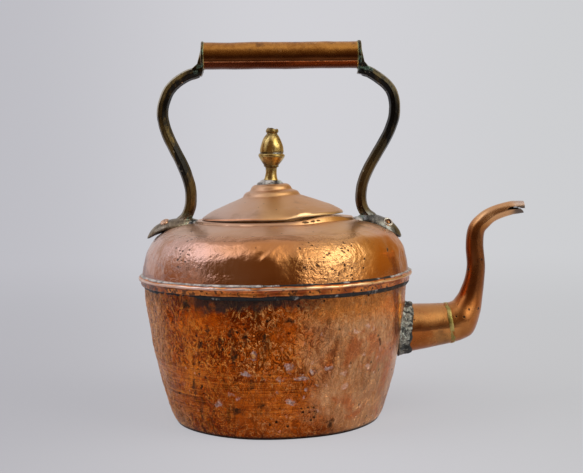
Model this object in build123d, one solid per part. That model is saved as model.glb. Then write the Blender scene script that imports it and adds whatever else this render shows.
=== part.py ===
from build123d import *
import math
import os

# Copper tea kettle. All sizes are in millimetres. The origin is the centre of the flat base,
# +Z is up and +X points to the spout. The rear arm of the handle is on the -X side.

# Sheet metal
SHEET = 1.2
LID_SHEET = 1.0
FIT = 0.05

# Kettle body: radii and heights of the outside surface
WALL_POINTS = [(75.8, 0.0), (82.6, 20.0), (90.0, 50.0), (94.6, 78.0), (96.1, 97.0)]
SEAM_R = 96.4
SEAM_Z = 104.2
FLANGE_R = 98.9
SHOULDER_POINTS = [
    (97.8, 106.6), (96.9, 113.5), (93.8, 124.9), (89.2, 132.4), (81.0, 138.0), (70.0, 142.2), (58.6, 144.4)
]
PLATFORM_R = 58.1
PLATFORM_Z = 146.2
MOUTH_R = 48.2
MOUTH_LIP = 7.0

# Base and the ring of brazing metal in the joint round it
BASE_RIM_R = 73.6
BASE_RIM_Z = 5.5
BASE_RIM_SPREAD = 2.5
BASE_BRAZE_BOTTOM_Z = 0.1
BASE_BRAZE_TOP_Z = 3.6
BASE_BRAZE_WIDTH = 0.5
BASE_BRAZE_SLOPE = 0.33

# Seam band: the skirt below the flanges, the rolled bead and the lip above them
BAND_IN_R = 97.4
BAND_OUT_R = 98.6
BAND_BOTTOM_Z = 101.0
BEAD_R = 100.4
BEAD_Z = 105.6
BEAD_TOP_R = 99.4
BAND_LIP_R = 98.2
BAND_TOP_Z = 107.4

# Soft solder on the seam, as outlines in radius and height
UPPER_SOLDER = [
    (97.86, 106.7), (98.15, 106.7), (98.15, 107.45), (99.2, 107.45), (98.3, 108.4), (97.75, 109.8)
]
LOWER_SOLDER = [(96.2, 98.4), (97.1, 99.8), (97.9, 100.9), (97.35, 100.9), (97.35, 104.1), (96.45, 104.1)]

# Lid, measured in its own frame, whose origin is the centre of the rim
LID_CENTRE_X = -1.2
LID_RIM_Z = 148.4
LID_TILT = 2.08
LID_R = 52.0
LID_CROWN = 23.3
LID_RIM_TOP = (51.7, 1.6)
LID_DOME = [(38.0, 8.2), (20.9, 14.7)]
LID_LOWER_STEP = [(20.2, 16.3), (18.4, 18.0), (15.6, 18.9)]
LID_UPPER_STEP = [(15.0, 19.9), (13.6, 22.2), (11.0, LID_CROWN)]
SKIRT_R = 44.8
SKIRT_SHEET = 0.9
SKIRT_DEPTH = 11.0
SKIRT_TOP_IN = 3.9
SKIRT_TOP_OUT = 3.5
SKIRT_SOLDER_BOTTOM = 1.8
SKIRT_SOLDER_TOP = 4.2
SKIRT_SOLDER_TIP = (-1.9, 5.0)
TANG_HOLE_R = 2.9

# Finial, measured from its foot on the lid's crown
FINIAL_FOOT = (-2.0, 0, 171.7)
FINIAL_LEAN = 2.5
FINIAL_FLANGE = (7.2, 1.0)
FINIAL_FLARE = [(5.4, 3.0), (4.5, 5.6)]
FINIAL_STEM = [(4.0, 8.4), (4.4, 12.2)]
FINIAL_BEAD = [(5.4, 13.0), (5.3, 13.9)]
FINIAL_CUP = [(7.9, 16.9), (9.5, 19.8)]
FINIAL_RIM = [(9.7, 21.0), (9.0, 22.1)]
FINIAL_GROOVE = [(8.2, 22.6), (8.6, 23.2)]
FINIAL_ACORN = [(7.6, 29.6), (4.1, 36.3)]
FINIAL_CAP = [(3.9, 37.0), (4.7, 38.4), (4.6, 40.0), (3.9, 40.5), (0, 40.3)]
FINIAL_SOLDER = [(6.4, -0.6), (10.4, -0.6), (10.2, 0.5), (8.4, 1.5), (7.2, 2.6), (6.4, 3.0)]
TANG_R = 2.5
TANG_CLEAR = 0.3
TANG_UPSET_SPREAD = 1.2
WASHER_R = 6.0
WASHER_SHEET = 1.0

# Brazed joints: how far the metal stands proud, and how deep it runs between the spout's two parts
BRAZE_PROUD = 0.3
BRAZE_DEPTH = 1.0

# Grip tube
GRIP_R = 9.75
GRIP_WALL = 1.5
GRIP_REAR = (-48.5, 265.9)
GRIP_FRONT = (62.8, 264.8)
GRIP_BRAZE = 0.5
PLATE_R = 10.5
SPIGOT_LENGTH = 14.0

# Section of the cast arms
ARM_THICK = 8.7
ARM_WIDTH = 11.0
ARM_BEVEL = 2.4
NECK_HALF_WIDTH = 4.5

# Hollow under the leaf-shaped foot, as shares of the foot's half width and rise
HOLLOW_WIDTH = 0.78
HOLLOW_RISE = 0.5
FOOT_SOLDER_SIZE = (5.0, 7.0, 3.2)

# Spout
SPOUT_WALL = 1.2
COLLAR_REACH = 7.5
COLLAR_STAND = 0.9
COLLAR_CLEAR = 0.02

# Rivets through the feet
RIVET_R = 1.9
RIVET_HEAD_R = 3.1
RIVET_HEAD_THICK = 1.5
RIVET_HEAD_ROUND = 1.2
RIVET_HEAD_ROOT = 1.2
UPSET_SPREAD = 0.9
UPSET_THICK = 1.0
BURR_R = 3.4
BURR_THICK = 1.0
BURR_CLEAR = 0.35
WASHER_THICK = 0.6
WASHER_HOLE_R = 2.2

# The two arms. Each is measured outwards from the kettle's axis: u is the distance towards its own
# side, z the height. A foot section is (u, half width, edge height, crest height).
REAR_ARM = {
    "side": -1,
    "path": [(52.6, 254.4), (79.6, 246.4), (79.6, 216.2), (60.6, 174.4), (60.6, 156.5), (70.1, 141.5)],
    "bends": [26.0, 44.0, 44.0, 24.0],
    "plate_thick": 1.8,
    "neck": [(50.6, 269.0), (53.0, 258.5), (60.0, 255.0), (57.0, 249.8), (52.0, 251.4), (49.3, 255.2)],
    "foot": [
        (57.5, 4.0, 143.6, 146.0),
        (64.0, 7.5, 142.4, 148.0),
        (72.0, 10.0, 141.0, 147.6),
        (80.0, 10.5, 139.6, 146.2),
        (87.0, 8.5, 137.4, 143.0),
        (91.5, 4.5, 135.0, 138.6),
        (93.8, 1.2, 133.6, 134.6),
    ],
    "rivet_at": (80.6, 4.6, 145.0),
    "rivet_way": (0.38, 0.04, 0.92),
    "head_way": (0.30, 0.50, 0.87),
    "rivet_depth": 7.5,
    "solder_at": (58.8, -3.0, 143.6),
}
FRONT_ARM = {
    "side": 1,
    "path": [(66.2, 253.3), (89.8, 246.0), (89.8, 217.3), (63.8, 172.4), (63.8, 156.5), (72.8, 141.0)],
    "bends": [24.0, 38.0, 38.0, 17.0],
    "plate_thick": 2.5,
    "neck": [(65.6, 269.0), (67.4, 258.5), (73.0, 254.8), (69.8, 249.0), (65.0, 251.2), (63.8, 254.8)],
    "foot": [
        (60.0, 4.0, 143.6, 147.2),
        (67.0, 8.0, 142.0, 149.4),
        (75.0, 10.3, 139.2, 147.6),
        (82.0, 10.3, 136.6, 145.2),
        (88.0, 8.3, 133.2, 141.2),
        (92.0, 4.5, 131.6, 136.2),
        (93.6, 1.2, 131.3, 132.3),
    ],
    "rivet_at": (83.4, 5.0, 143.0),
    "rivet_way": (0.42, 0.04, 0.90),
    "head_way": (0.46, 0.56, 0.80),
    "rivet_depth": 6.9,
    "solder_at": (61.0, -3.5, 143.6),
}

# Spout sections: (x, z) of the centre, outside radius and the tube's direction in degrees above +X
ROOT_SECTIONS = [
    (84.0, 61.7, 18.1, 5.5),
    (127.6, 65.8, 14.9, 9.0),
]
NECK_SECTIONS = [
    (129.6, 66.1, 14.85, 9.0),
    (139.0, 70.4, 14.0, 30.0),
    (143.3, 79.4, 10.9, 48.0),
    (145.2, 86.6, 8.9, 64.0),
    (147.6, 97.3, 7.35, 80.0),
    (148.9, 108.5, 6.75, 88.0),
    (148.0, 123.0, 6.55, 93.0),
    (149.5, 134.9, 6.3, 71.0),
    (155.1, 141.9, 6.2, 37.0),
    (162.4, 146.7, 5.7, 19.0),
    (174.5, 150.3, 5.1, 9.0),
    (184.2, 151.3, 4.1, 3.0),
]
BEAK_NOTCH = [(171.5, 149.3), (188.0, 152.9), (188.0, 149.4)]

LID_SEAT = Location((LID_CENTRE_X, 0, LID_RIM_Z), (0, -LID_TILT, 0))
FINIAL_SEAT = Location(FINIAL_FOOT, (0, FINIAL_LEAN, 0))


def turned(outline):
    """Solid of revolution about Z, joined up at the back. The outline is in radius and height."""
    return Rot(0, 0, 90) * revolve(Plane.XZ * make_face(outline), Axis.Z)


def turned_sheet(path, thickness):
    """Sheet metal turned about Z. The path is the outside surface, with the metal on its left."""
    return turned(offset(path, thickness, side=Side.LEFT))


def ring(*corners):
    """Turned ring with straight edges between the given corners."""
    return turned(Polyline(*corners, close=True))


def tube_section(x, z, radius, angle):
    """Round section of the spout, square to its direction in the XZ plane."""
    way = math.radians(angle)
    plane = Plane(origin=(x, 0, z), x_dir=(0, 1, 0), z_dir=(math.cos(way), 0, math.sin(way)))
    return plane * Circle(radius)


def save(node, solid):
    solid.label = node
    export_step(solid, f"parts/{node}.step")


def inset(points, thickness):
    """Points of a curved sheet's inside surface, to the left of the curve through the outside ones."""
    outside = Spline(*points)
    ways = [outside % outside.param_at_point(point) for point in points]
    return [(x - thickness * way.Y, z + thickness * way.X) for (x, z), way in zip(points, ways)]


# Outside surfaces that other pieces are fitted to
def shoulder_envelope():
    """Everything under the shoulder's outside surface, a fit larger than the shoulder."""
    foot, top = SHOULDER_POINTS[0], SHOULDER_POINTS[-1]
    core = Polyline(top, (PLATFORM_R, PLATFORM_Z), (0, PLATFORM_Z), (0, foot[1]), foot)
    return turned(Spline(*SHOULDER_POINTS) + core)


def wall_envelope(clearance):
    """Everything inside the wall's outside surface, made larger by the clearance."""
    points = [(r + clearance, z) for r, z in WALL_POINTS]
    foot, top = points[0], points[-1]
    return turned(Spline(*points) + Polyline(top, (0, top[1]), (0, foot[1]), foot))


# Body of the kettle
def body_wall():
    inside = inset(WALL_POINTS, SHEET)
    inside[0] = (WALL_POINTS[0][0] - 1.15 * SHEET, 0)
    flange = Polyline(
        WALL_POINTS[-1], (SEAM_R, SEAM_Z), (FLANGE_R, SEAM_Z), (FLANGE_R, SEAM_Z + SHEET),
        (SEAM_R - SHEET, SEAM_Z + SHEET), inside[-1],
    )
    foot = Line(inside[0], WALL_POINTS[0])
    return turned(Spline(*WALL_POINTS) + flange + Spline(*inside) + foot) - spout_bore()


def base_plate():
    rim_top = (BASE_RIM_R + BASE_RIM_SPREAD, BASE_RIM_Z)
    return turned_sheet(Polyline((0, 0), (BASE_RIM_R, 0), rim_top), SHEET)


def base_braze():
    bottom = BASE_BRAZE_BOTTOM_Z
    top = BASE_BRAZE_TOP_Z
    lean = BASE_RIM_SPREAD / BASE_RIM_Z
    inner = BASE_RIM_R + FIT
    outer = inner + BASE_BRAZE_WIDTH
    return ring(
        (inner + lean * bottom, bottom), (outer, bottom), (outer + BASE_BRAZE_SLOPE * top, top),
        (inner + lean * top, top),
    )


def shoulder():
    inside = inset(SHOULDER_POINTS, SHEET)
    seat = SEAM_Z + SHEET
    flange = Polyline(
        inside[0], (inside[0][0], seat), (FLANGE_R, seat), (FLANGE_R, seat + SHEET), SHOULDER_POINTS[0]
    )
    under = PLATFORM_Z - SHEET
    lip = PLATFORM_Z - MOUTH_LIP
    mouth = Polyline(
        SHOULDER_POINTS[-1], (PLATFORM_R, PLATFORM_Z), (MOUTH_R, PLATFORM_Z), (MOUTH_R, lip),
        (MOUTH_R + SHEET, lip), (MOUTH_R + SHEET, under), (PLATFORM_R - SHEET, under), inside[-1],
    )
    dome = turned(flange + Spline(*SHOULDER_POINTS) + mouth + Spline(*inside))
    for arm in (REAR_ARM, FRONT_ARM):
        dome -= rivet_holes(arm)
    return dome


def seam_band():
    pocket = FLANGE_R + FIT
    pocket_bottom = SEAM_Z - FIT
    pocket_top = SEAM_Z + 2 * SHEET + FIT
    bead_foot = (BAND_OUT_R, SEAM_Z)
    bead_top = (BEAD_TOP_R, BAND_TOP_Z)
    outside = Polyline((BAND_IN_R, BAND_BOTTOM_Z), (BAND_OUT_R, BAND_BOTTOM_Z), bead_foot)
    bead = ThreePointArc(bead_foot, (BEAD_R, BEAD_Z), bead_top)
    inside = Polyline(
        bead_top, (BAND_LIP_R, BAND_TOP_Z), (BAND_LIP_R, pocket_top), (pocket, pocket_top),
        (pocket, pocket_bottom), (BAND_IN_R, pocket_bottom), (BAND_IN_R, BAND_BOTTOM_Z),
    )
    return turned(outside + bead + inside)


def seam_solder_upper():
    return ring(*UPPER_SOLDER)


def seam_solder_lower():
    return ring(*LOWER_SOLDER)


# Spout
def spout_bore():
    """Inside of the root, run on through the wall."""
    sections = [tube_section(x, z, radius - SPOUT_WALL, way) for x, z, radius, way in ROOT_SECTIONS]
    return loft(sections, ruled=True)


def root_cone(stand):
    sections = [tube_section(x, z, radius + stand, way) for x, z, radius, way in ROOT_SECTIONS]
    return loft(sections, ruled=True)


def spout_root():
    return root_cone(0) - spout_bore() - wall_envelope(FIT)


def spout_solder():
    """Solder collar round the root, thick at the wall and feathered out along the tube."""
    shell = root_cone(COLLAR_STAND) - root_cone(COLLAR_CLEAR) - wall_envelope(FIT)
    return shell & wall_envelope(COLLAR_REACH)


def spout_braze():
    """Yellow joint line: a short sleeve in the gap between root and neck, a little proud of both."""
    x0, z0, r0, way0 = ROOT_SECTIONS[-1]
    x1, z1, r1, way1 = NECK_SECTIONS[0]
    outer, inner = [
        loft([tube_section(x0, z0, r0 + step, way0), tube_section(x1, z1, r1 + step, way1)], ruled=True)
        for step in (BRAZE_PROUD, -BRAZE_DEPTH)
    ]
    return outer - inner


def spout_neck():
    outer = loft([tube_section(*section) for section in NECK_SECTIONS])
    inner = loft([tube_section(x, z, radius - SPOUT_WALL, way) for x, z, radius, way in NECK_SECTIONS])
    notch_face = Plane.XZ * make_face(Polyline(*BEAK_NOTCH, close=True))
    notch = extrude(notch_face, amount=NECK_SECTIONS[0][2], both=True)
    return outer - inner - notch


# Handle
def grip_frame():
    """Frame on the tube's middle, with its Z along the tube towards the front."""
    (x0, z0), (x1, z1) = GRIP_REAR, GRIP_FRONT
    fall = math.degrees(math.atan2(z0 - z1, x1 - x0))
    return Location(((x0 + x1) / 2, 0, (z0 + z1) / 2), (0, 90 + fall, 0))


def grip_half():
    (x0, z0), (x1, z1) = GRIP_REAR, GRIP_FRONT
    return math.hypot(x1 - x0, z1 - z0) / 2


def grip_disc(side, start, length, radius):
    """Disc on the tube's axis, starting a distance beyond that end of the tube."""
    middle = side * (grip_half() + start + length / 2)
    return grip_frame() * Pos(0, 0, middle) * Cylinder(radius, length)


def grip_tube():
    length = 2 * grip_half()
    return grip_frame() * (Cylinder(GRIP_R, length) - Cylinder(GRIP_R - GRIP_WALL, length))


def grip_braze(arm):
    side = arm["side"]
    spigot_r = GRIP_R - GRIP_WALL
    outer = grip_disc(side, 0, GRIP_BRAZE, GRIP_R + BRAZE_PROUD)
    return outer - grip_disc(side, 0, GRIP_BRAZE, spigot_r)


def arm_section(path):
    """Eight-sided section of the cast arm at the start of its path."""
    half_thick = ARM_THICK / 2
    half_width = ARM_WIDTH / 2
    section = chamfer(Rectangle(2 * half_width, 2 * half_thick).vertices(), ARM_BEVEL)
    return Plane(origin=path @ 0, x_dir=(0, 1, 0), z_dir=path % 0) * section


def foot_section(u, half_width, edge_z, crest_z):
    """Crescent across the leaf-shaped foot, square to its length."""
    rise = crest_z - edge_z
    inner_half = HOLLOW_WIDTH * half_width
    outer = ThreePointArc((-half_width, edge_z), (0, crest_z), (half_width, edge_z))
    right = Line((half_width, edge_z), (inner_half, edge_z))
    inner = ThreePointArc((inner_half, edge_z), (0, edge_z + HOLLOW_RISE * rise), (-inner_half, edge_z))
    left = Line((-inner_half, edge_z), (-half_width, edge_z))
    face = make_face(outer + right + inner + left)
    return Plane(origin=(u, 0, 0), x_dir=(0, 1, 0), z_dir=(1, 0, 0)) * face


def handle_arm(arm):
    path = FilletPolyline(*[(u, 0, z) for u, z in arm["path"]], radius=arm["bends"])
    bar = sweep(arm_section(path), path)
    neck_face = Plane.XZ * make_face(Polyline(*arm["neck"], close=True))
    neck = extrude(neck_face, amount=NECK_HALF_WIDTH, both=True)
    foot = loft([foot_section(*section) for section in arm["foot"]])
    casting = bar + neck + foot
    if arm["side"] < 0:
        casting = mirror(casting, Plane.YZ)
    plate = grip_disc(arm["side"], GRIP_BRAZE, arm["plate_thick"], PLATE_R)
    spigot = grip_disc(arm["side"], -SPIGOT_LENGTH, SPIGOT_LENGTH + GRIP_BRAZE, GRIP_R - GRIP_WALL - FIT)
    inside = grip_disc(arm["side"], -SPIGOT_LENGTH, SPIGOT_LENGTH + GRIP_BRAZE, 3 * GRIP_R)
    casting = casting - inside + plate + spigot
    return casting - shoulder_envelope() - rivet_holes(arm)


# Rivets through the feet, one on each flank of the foot
def rivet_pair(arm, way, piece):
    """The piece on both flanks, at the top of each rivet and with its Z along the given way."""
    u, y, z = arm["rivet_at"]
    way_u, way_y, way_z = arm[way]
    near, far = [
        Plane(origin=(arm["side"] * u, flank * y, z), z_dir=(arm["side"] * way_u, flank * way_y, way_z))
        for flank in (-1, 1)
    ]
    return near * piece + far * piece


def rivet_holes(arm):
    return rivet_pair(arm, "rivet_way", Cylinder(RIVET_R + FIT, 4 * rivet_reach(arm)))


def rivet_reach(arm):
    """Depth from the top of the foot to the burr, which stands just clear of the curved sheet."""
    return arm["rivet_depth"] + BURR_CLEAR


def foot_rivets(arm, head_at, casting):
    tail = rivet_reach(arm) + BURR_THICK
    shank = Pos(0, 0, -tail / 2) * Cylinder(RIVET_R, tail)
    upset = Pos(0, 0, -tail - UPSET_THICK / 2) * Cylinder(RIVET_R + UPSET_SPREAD, UPSET_THICK)
    head = Pos(0, 0, head_at + RIVET_HEAD_THICK / 2) * Cylinder(RIVET_HEAD_R, RIVET_HEAD_THICK)
    head = fillet(head.faces().sort_by(Axis.Z)[-1].edges(), RIVET_HEAD_ROUND)
    root = Pos(0, 0, head_at / 2) * Cylinder(RIVET_R, head_at + 2 * RIVET_HEAD_ROOT)
    heads = rivet_pair(arm, "head_way", head + root) - casting
    return heads + rivet_pair(arm, "rivet_way", shank + upset)


def rivet_burrs(arm):
    burr = Cylinder(BURR_R, BURR_THICK) - Cylinder(RIVET_R + FIT, BURR_THICK)
    return rivet_pair(arm, "rivet_way", Pos(0, 0, -rivet_reach(arm) - BURR_THICK / 2) * burr)


def rivet_washers(arm, casting):
    washer = Cylinder(RIVET_HEAD_R, WASHER_THICK) - Cylinder(WASHER_HOLE_R, WASHER_THICK)
    pieces = rivet_pair(arm, "head_way", Pos(0, 0, WASHER_THICK / 2) * washer) - casting
    return Compound(children=list(pieces.solids().sort_by(SortBy.VOLUME)[-2:]))


def foot_solder(arm, casting):
    """Low blob of solder on the shoulder at the root of the arm."""
    u, y, z = arm["solder_at"]
    blob = scale(Sphere(1.0), by=FOOT_SOLDER_SIZE)
    pieces = Pos(arm["side"] * u, y, z) * blob - shoulder_envelope() - casting
    return pieces.solids().sort_by(SortBy.VOLUME)[-1]


# Lid
def lid_dome():
    rim = Line((LID_R, 0), LID_RIM_TOP)
    dome = ThreePointArc(LID_RIM_TOP, *LID_DOME)
    step = Line(LID_DOME[-1], LID_LOWER_STEP[0])
    lower = ThreePointArc(*LID_LOWER_STEP)
    riser = Line(LID_LOWER_STEP[-1], LID_UPPER_STEP[0])
    upper = ThreePointArc(*LID_UPPER_STEP)
    crown = Line(LID_UPPER_STEP[-1], (TANG_HOLE_R, LID_CROWN))
    return LID_SEAT * turned_sheet(rim + dome + step + lower + riser + upper + crown, LID_SHEET)


def lid_skirt():
    inner = SKIRT_R - SKIRT_SHEET
    return LID_SEAT * ring(
        (inner, -SKIRT_DEPTH), (SKIRT_R, -SKIRT_DEPTH), (SKIRT_R, SKIRT_TOP_OUT), (inner, SKIRT_TOP_IN)
    )


def lid_skirt_solder():
    outer = SKIRT_R - SKIRT_SHEET - FIT
    reach, tip = SKIRT_SOLDER_TIP
    return LID_SEAT * ring((outer, SKIRT_SOLDER_BOTTOM), (outer, SKIRT_SOLDER_TOP), (outer + reach, tip))


def finial_washer():
    washer = Cylinder(WASHER_R, WASHER_SHEET) - Cylinder(TANG_HOLE_R, WASHER_SHEET)
    return LID_SEAT * Pos(0, 0, LID_CROWN - LID_SHEET - WASHER_SHEET / 2 - FIT) * washer


def finial():
    foot = Polyline((0, 0), (FINIAL_FLANGE[0], 0), FINIAL_FLANGE)
    flare = ThreePointArc(FINIAL_FLANGE, *FINIAL_FLARE)
    stem = ThreePointArc(FINIAL_FLARE[-1], *FINIAL_STEM)
    bead = ThreePointArc(FINIAL_STEM[-1], *FINIAL_BEAD)
    cup = ThreePointArc(FINIAL_BEAD[-1], *FINIAL_CUP)
    rim = ThreePointArc(FINIAL_CUP[-1], *FINIAL_RIM)
    groove = Polyline(FINIAL_RIM[-1], *FINIAL_GROOVE)
    acorn = ThreePointArc(FINIAL_GROOVE[-1], *FINIAL_ACORN)
    cap = Polyline(FINIAL_ACORN[-1], *FINIAL_CAP, (0, 0))
    acorn_solid = turned(foot + flare + stem + bead + cup + rim + groove + acorn + cap)
    tail = LID_SHEET + WASHER_SHEET + TANG_CLEAR
    tang = Pos(0, 0, -tail / 2) * Cylinder(TANG_R, tail)
    upset = Pos(0, 0, -tail - WASHER_SHEET / 2) * Cylinder(TANG_R + TANG_UPSET_SPREAD, WASHER_SHEET)
    return FINIAL_SEAT * (acorn_solid + tang + upset) - lid_dome() - finial_washer()


def finial_solder():
    pieces = FINIAL_SEAT * ring(*FINIAL_SOLDER) - lid_dome() - finial()
    return pieces.solids().sort_by(SortBy.VOLUME)[-1]


def main():
    os.makedirs("parts", exist_ok=True)
    save("body_wall", body_wall())
    save("base_plate", base_plate())
    save("base_braze", base_braze())
    save("shoulder", shoulder())
    save("seam_band", seam_band())
    save("seam_solder_upper", seam_solder_upper())
    save("seam_solder_lower", seam_solder_lower())
    save("spout_root", spout_root())
    save("spout_neck", spout_neck())
    save("spout_braze", spout_braze())
    save("spout_solder", spout_solder())
    save("grip_tube", grip_tube())
    for name, arm in (("rear", REAR_ARM), ("front", FRONT_ARM)):
        casting = handle_arm(arm)
        save(f"{name}_handle_arm", casting)
        save(f"{name}_grip_braze", grip_braze(arm))
        save(f"{name}_foot_solder", foot_solder(arm, casting))
        save(f"{name}_rivet_burrs", rivet_burrs(arm))
        head_at = 0 if arm is REAR_ARM else WASHER_THICK
        save(f"{name}_foot_rivets", foot_rivets(arm, head_at, casting))
    save("front_rivet_washers", rivet_washers(FRONT_ARM, casting))
    save("lid_dome", lid_dome())
    save("lid_skirt", lid_skirt())
    save("lid_skirt_solder", lid_skirt_solder())
    save("finial", finial())
    save("finial_solder", finial_solder())
    save("finial_washer", finial_washer())


main()
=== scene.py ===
import math

import bmesh
import bpy
from mathutils import Matrix, Vector, noise


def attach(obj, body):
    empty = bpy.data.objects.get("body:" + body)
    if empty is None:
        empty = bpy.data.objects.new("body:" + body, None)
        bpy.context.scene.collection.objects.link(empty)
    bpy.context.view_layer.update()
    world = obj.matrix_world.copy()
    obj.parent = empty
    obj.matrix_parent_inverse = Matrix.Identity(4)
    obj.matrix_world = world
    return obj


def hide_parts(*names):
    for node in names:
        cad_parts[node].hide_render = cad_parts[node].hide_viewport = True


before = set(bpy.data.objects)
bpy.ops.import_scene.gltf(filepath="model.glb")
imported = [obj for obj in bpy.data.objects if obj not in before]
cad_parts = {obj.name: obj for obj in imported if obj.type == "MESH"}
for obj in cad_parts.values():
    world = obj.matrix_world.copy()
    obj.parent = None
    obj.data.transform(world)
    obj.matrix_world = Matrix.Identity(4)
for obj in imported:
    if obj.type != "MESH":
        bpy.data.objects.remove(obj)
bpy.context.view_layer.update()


# Camera. It stands level with the kettle's shoulder, 0.8 m in front of it, looks a little down and
# is tipped a touch, as the photograph is. The lens is as long as the photograph's perspective asks.
CAMERA_AT = Vector((0, -0.804, 0.19305))
CAMERA_DOWN = 0.075
CAMERA_PAN = 0.0154
CAMERA_ROLL = -0.0204
PHOTO_WIDTH_PIXELS = 583
FOCAL_LENGTH_PIXELS = 1090.76
SENSOR = 36.0

forward = Vector((
    math.sin(CAMERA_PAN) * math.cos(CAMERA_DOWN),
    math.cos(CAMERA_PAN) * math.cos(CAMERA_DOWN),
    -math.sin(CAMERA_DOWN),
))
level = forward.cross(Vector((0, 0, 1))).normalized()
upright = level.cross(forward)
right = level * math.cos(CAMERA_ROLL) + upright * math.sin(CAMERA_ROLL)
up = upright * math.cos(CAMERA_ROLL) - level * math.sin(CAMERA_ROLL)
camera = bpy.data.objects.new("camera", bpy.data.cameras.new("camera"))
camera.data.sensor_width = SENSOR
camera.data.lens = SENSOR * FOCAL_LENGTH_PIXELS / PHOTO_WIDTH_PIXELS
camera.matrix_world = Matrix.Translation(CAMERA_AT) @ Matrix((right, up, -forward)).transposed().to_4x4()
bpy.context.scene.collection.objects.link(camera)
bpy.context.scene.camera = camera
bpy.context.scene.view_settings.view_transform = "Standard"


# Studio. Pale paper under and behind the kettle, a large soft light high on each side, the right one
# warmer, and a dark room behind the camera, which the copper shows as a dark band.
class Wire:
    """One value on its way through a material. Sums written on it add Math nodes."""

    def __init__(self, finish, socket):
        self.finish = finish
        self.socket = socket

    def math(self, operation, *values):
        return self.finish.add("ShaderNodeMath", {"operation": operation}, dict(enumerate(values)))

    def __add__(self, other):
        return self.math("ADD", self, other)

    def __sub__(self, other):
        return self.math("SUBTRACT", self, other)

    def __rsub__(self, other):
        return self.math("SUBTRACT", other, self)

    def __mul__(self, other):
        return self.math("MULTIPLY", self, other)

    def __truediv__(self, other):
        return self.math("DIVIDE", self, other)

    def __pow__(self, other):
        return self.math("POWER", self, other)

    __radd__ = __add__
    __rmul__ = __mul__

    def most(self, other):
        return self.math("MAXIMUM", self, other)

    def size(self):
        return self.math("ABSOLUTE", self)

    def rise(self, low, high):
        """0 up to low, 1 from high on, and an eased slope between them. High may be below low."""
        values = {"Value": self, "From Min": low, "From Max": high}
        return self.finish.add("ShaderNodeMapRange", {"interpolation_type": "SMOOTHSTEP"}, values)


class Finish:
    """A material, or the world, that is built up node by node."""

    def __init__(self, owner, space="Object"):
        owner.use_nodes = True
        self.owner = owner
        self.tree = owner.node_tree
        self.tree.nodes.clear()
        self.at = self.add("ShaderNodeTexCoord", {}, {}, space)

    def add(self, kind, settings, inputs, output=0):
        node = self.tree.nodes.new(kind)
        for name, value in settings.items():
            setattr(node, name, value)
        for name, value in inputs.items():
            if isinstance(value, Wire):
                self.tree.links.new(value.socket, node.inputs[name])
            else:
                node.inputs[name].default_value = value
        return None if output is None else Wire(self, node.outputs[output])

    def axes(self, vector=None):
        """The three numbers of a vector."""
        split = self.add("ShaderNodeSeparateXYZ", {}, {0: vector or self.at})
        outputs = split.socket.node.outputs
        return [Wire(self, outputs[i]) for i in range(3)]

    def vector(self, operation, first, second, output=0):
        return self.add("ShaderNodeVectorMath", {"operation": operation}, {0: first, 1: second}, output)

    def moved(self, *by):
        """The place on the piece, moved, so that two patterns of one kind don't match."""
        return self.vector("ADD", self.at, by)

    def scaled(self, *by):
        """The place on the piece, scaled along each axis, so that a pattern on it is drawn out."""
        return self.vector("MULTIPLY", self.at, by)

    def noise(self, scale, detail=3.0, roughness=0.5, distortion=0.0, at=None, output=0):
        values = {
            "Vector": at or self.at, "Scale": scale, "Detail": detail, "Roughness": roughness,
            "Distortion": distortion,
        }
        return self.add("ShaderNodeTexNoise", {}, values, output)

    def ragged(self, scale, reach):
        """The place on the piece, shifted about at random so that a mask drawn with it has torn edges."""
        shift = self.vector("SUBTRACT", self.noise(scale, 5.0, 0.68, output=1), (0.5, 0.5, 0.5))
        return self.vector("ADD", self.at, self.vector("MULTIPLY", shift, (reach, reach, reach)))

    def cells(self, scale, at=None):
        """Distance from the nearest of many scattered points."""
        return self.add("ShaderNodeTexVoronoi", {}, {"Vector": at or self.at, "Scale": scale})

    def blend(self, share, first, second, kind="MIX"):
        """Colour that goes from the first to the second as the share goes from 0 to 1."""
        first, second = [v if isinstance(v, Wire) else (*v, 1.0) for v in (first, second)]
        settings = {"data_type": "RGBA", "blend_type": kind, "clamp_factor": True}
        return self.add("ShaderNodeMix", settings, {0: share, 6: first, 7: second}, 2)

    def relief(self, height, depth):
        """Bump of a height from 0 to 1, a depth in metres."""
        return self.add("ShaderNodeBump", {}, {"Height": height, "Distance": depth})

    def surface(self, kind, **inputs):
        named = {name.replace("_", " "): value for name, value in inputs.items()}
        for name in ("Base Color", "Color"):
            if name in named and not isinstance(named[name], Wire):
                named[name] = (*named[name], 1.0)
        return self.add(kind, {}, named)

    def done(self, shader, output="ShaderNodeOutputMaterial"):
        self.add(output, {}, {"Surface": shader}, None)
        return self.owner

    def metal(self, **inputs):
        """Ends the material with one surface of these values."""
        return self.done(self.surface("ShaderNodeBsdfPrincipled", **inputs))


def direction(azimuth, elevation):
    """Way from the kettle, in degrees. Azimuth 0 is the camera's side and 90 the spout's."""
    turn, rise = math.radians(azimuth), math.radians(elevation)
    return Vector((math.sin(turn) * math.cos(rise), -math.cos(turn) * math.cos(rise), math.sin(rise)))


PAPER_LEFT = (0.515, 0.512, 0.55)
PAPER_MIDDLE = (0.645, 0.642, 0.675)
PAPER_RIGHT = (0.615, 0.62, 0.637)
FLOOR_SHADE = (0.885, 0.882, 0.878)


def paper_colour(finish, sideways):
    """The paper is brightest behind the kettle and a little darker and cooler on the left."""
    left = finish.blend(sideways.rise(-0.26, 0.02), PAPER_LEFT, PAPER_MIDDLE)
    return finish.blend(sideways.rise(0.04, 0.27), left, PAPER_RIGHT)


def is_ray(finish, kind):
    return finish.add("ShaderNodeLightPath", {}, {}, kind)


def toward(finish, azimuth, elevation, near, far):
    """1 within the near angle of a direction, 0 beyond the far one."""
    along = finish.vector("DOT_PRODUCT", finish.at, direction(azimuth, elevation), 1)
    return along.rise(math.cos(math.radians(far)), math.cos(math.radians(near)))


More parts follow.
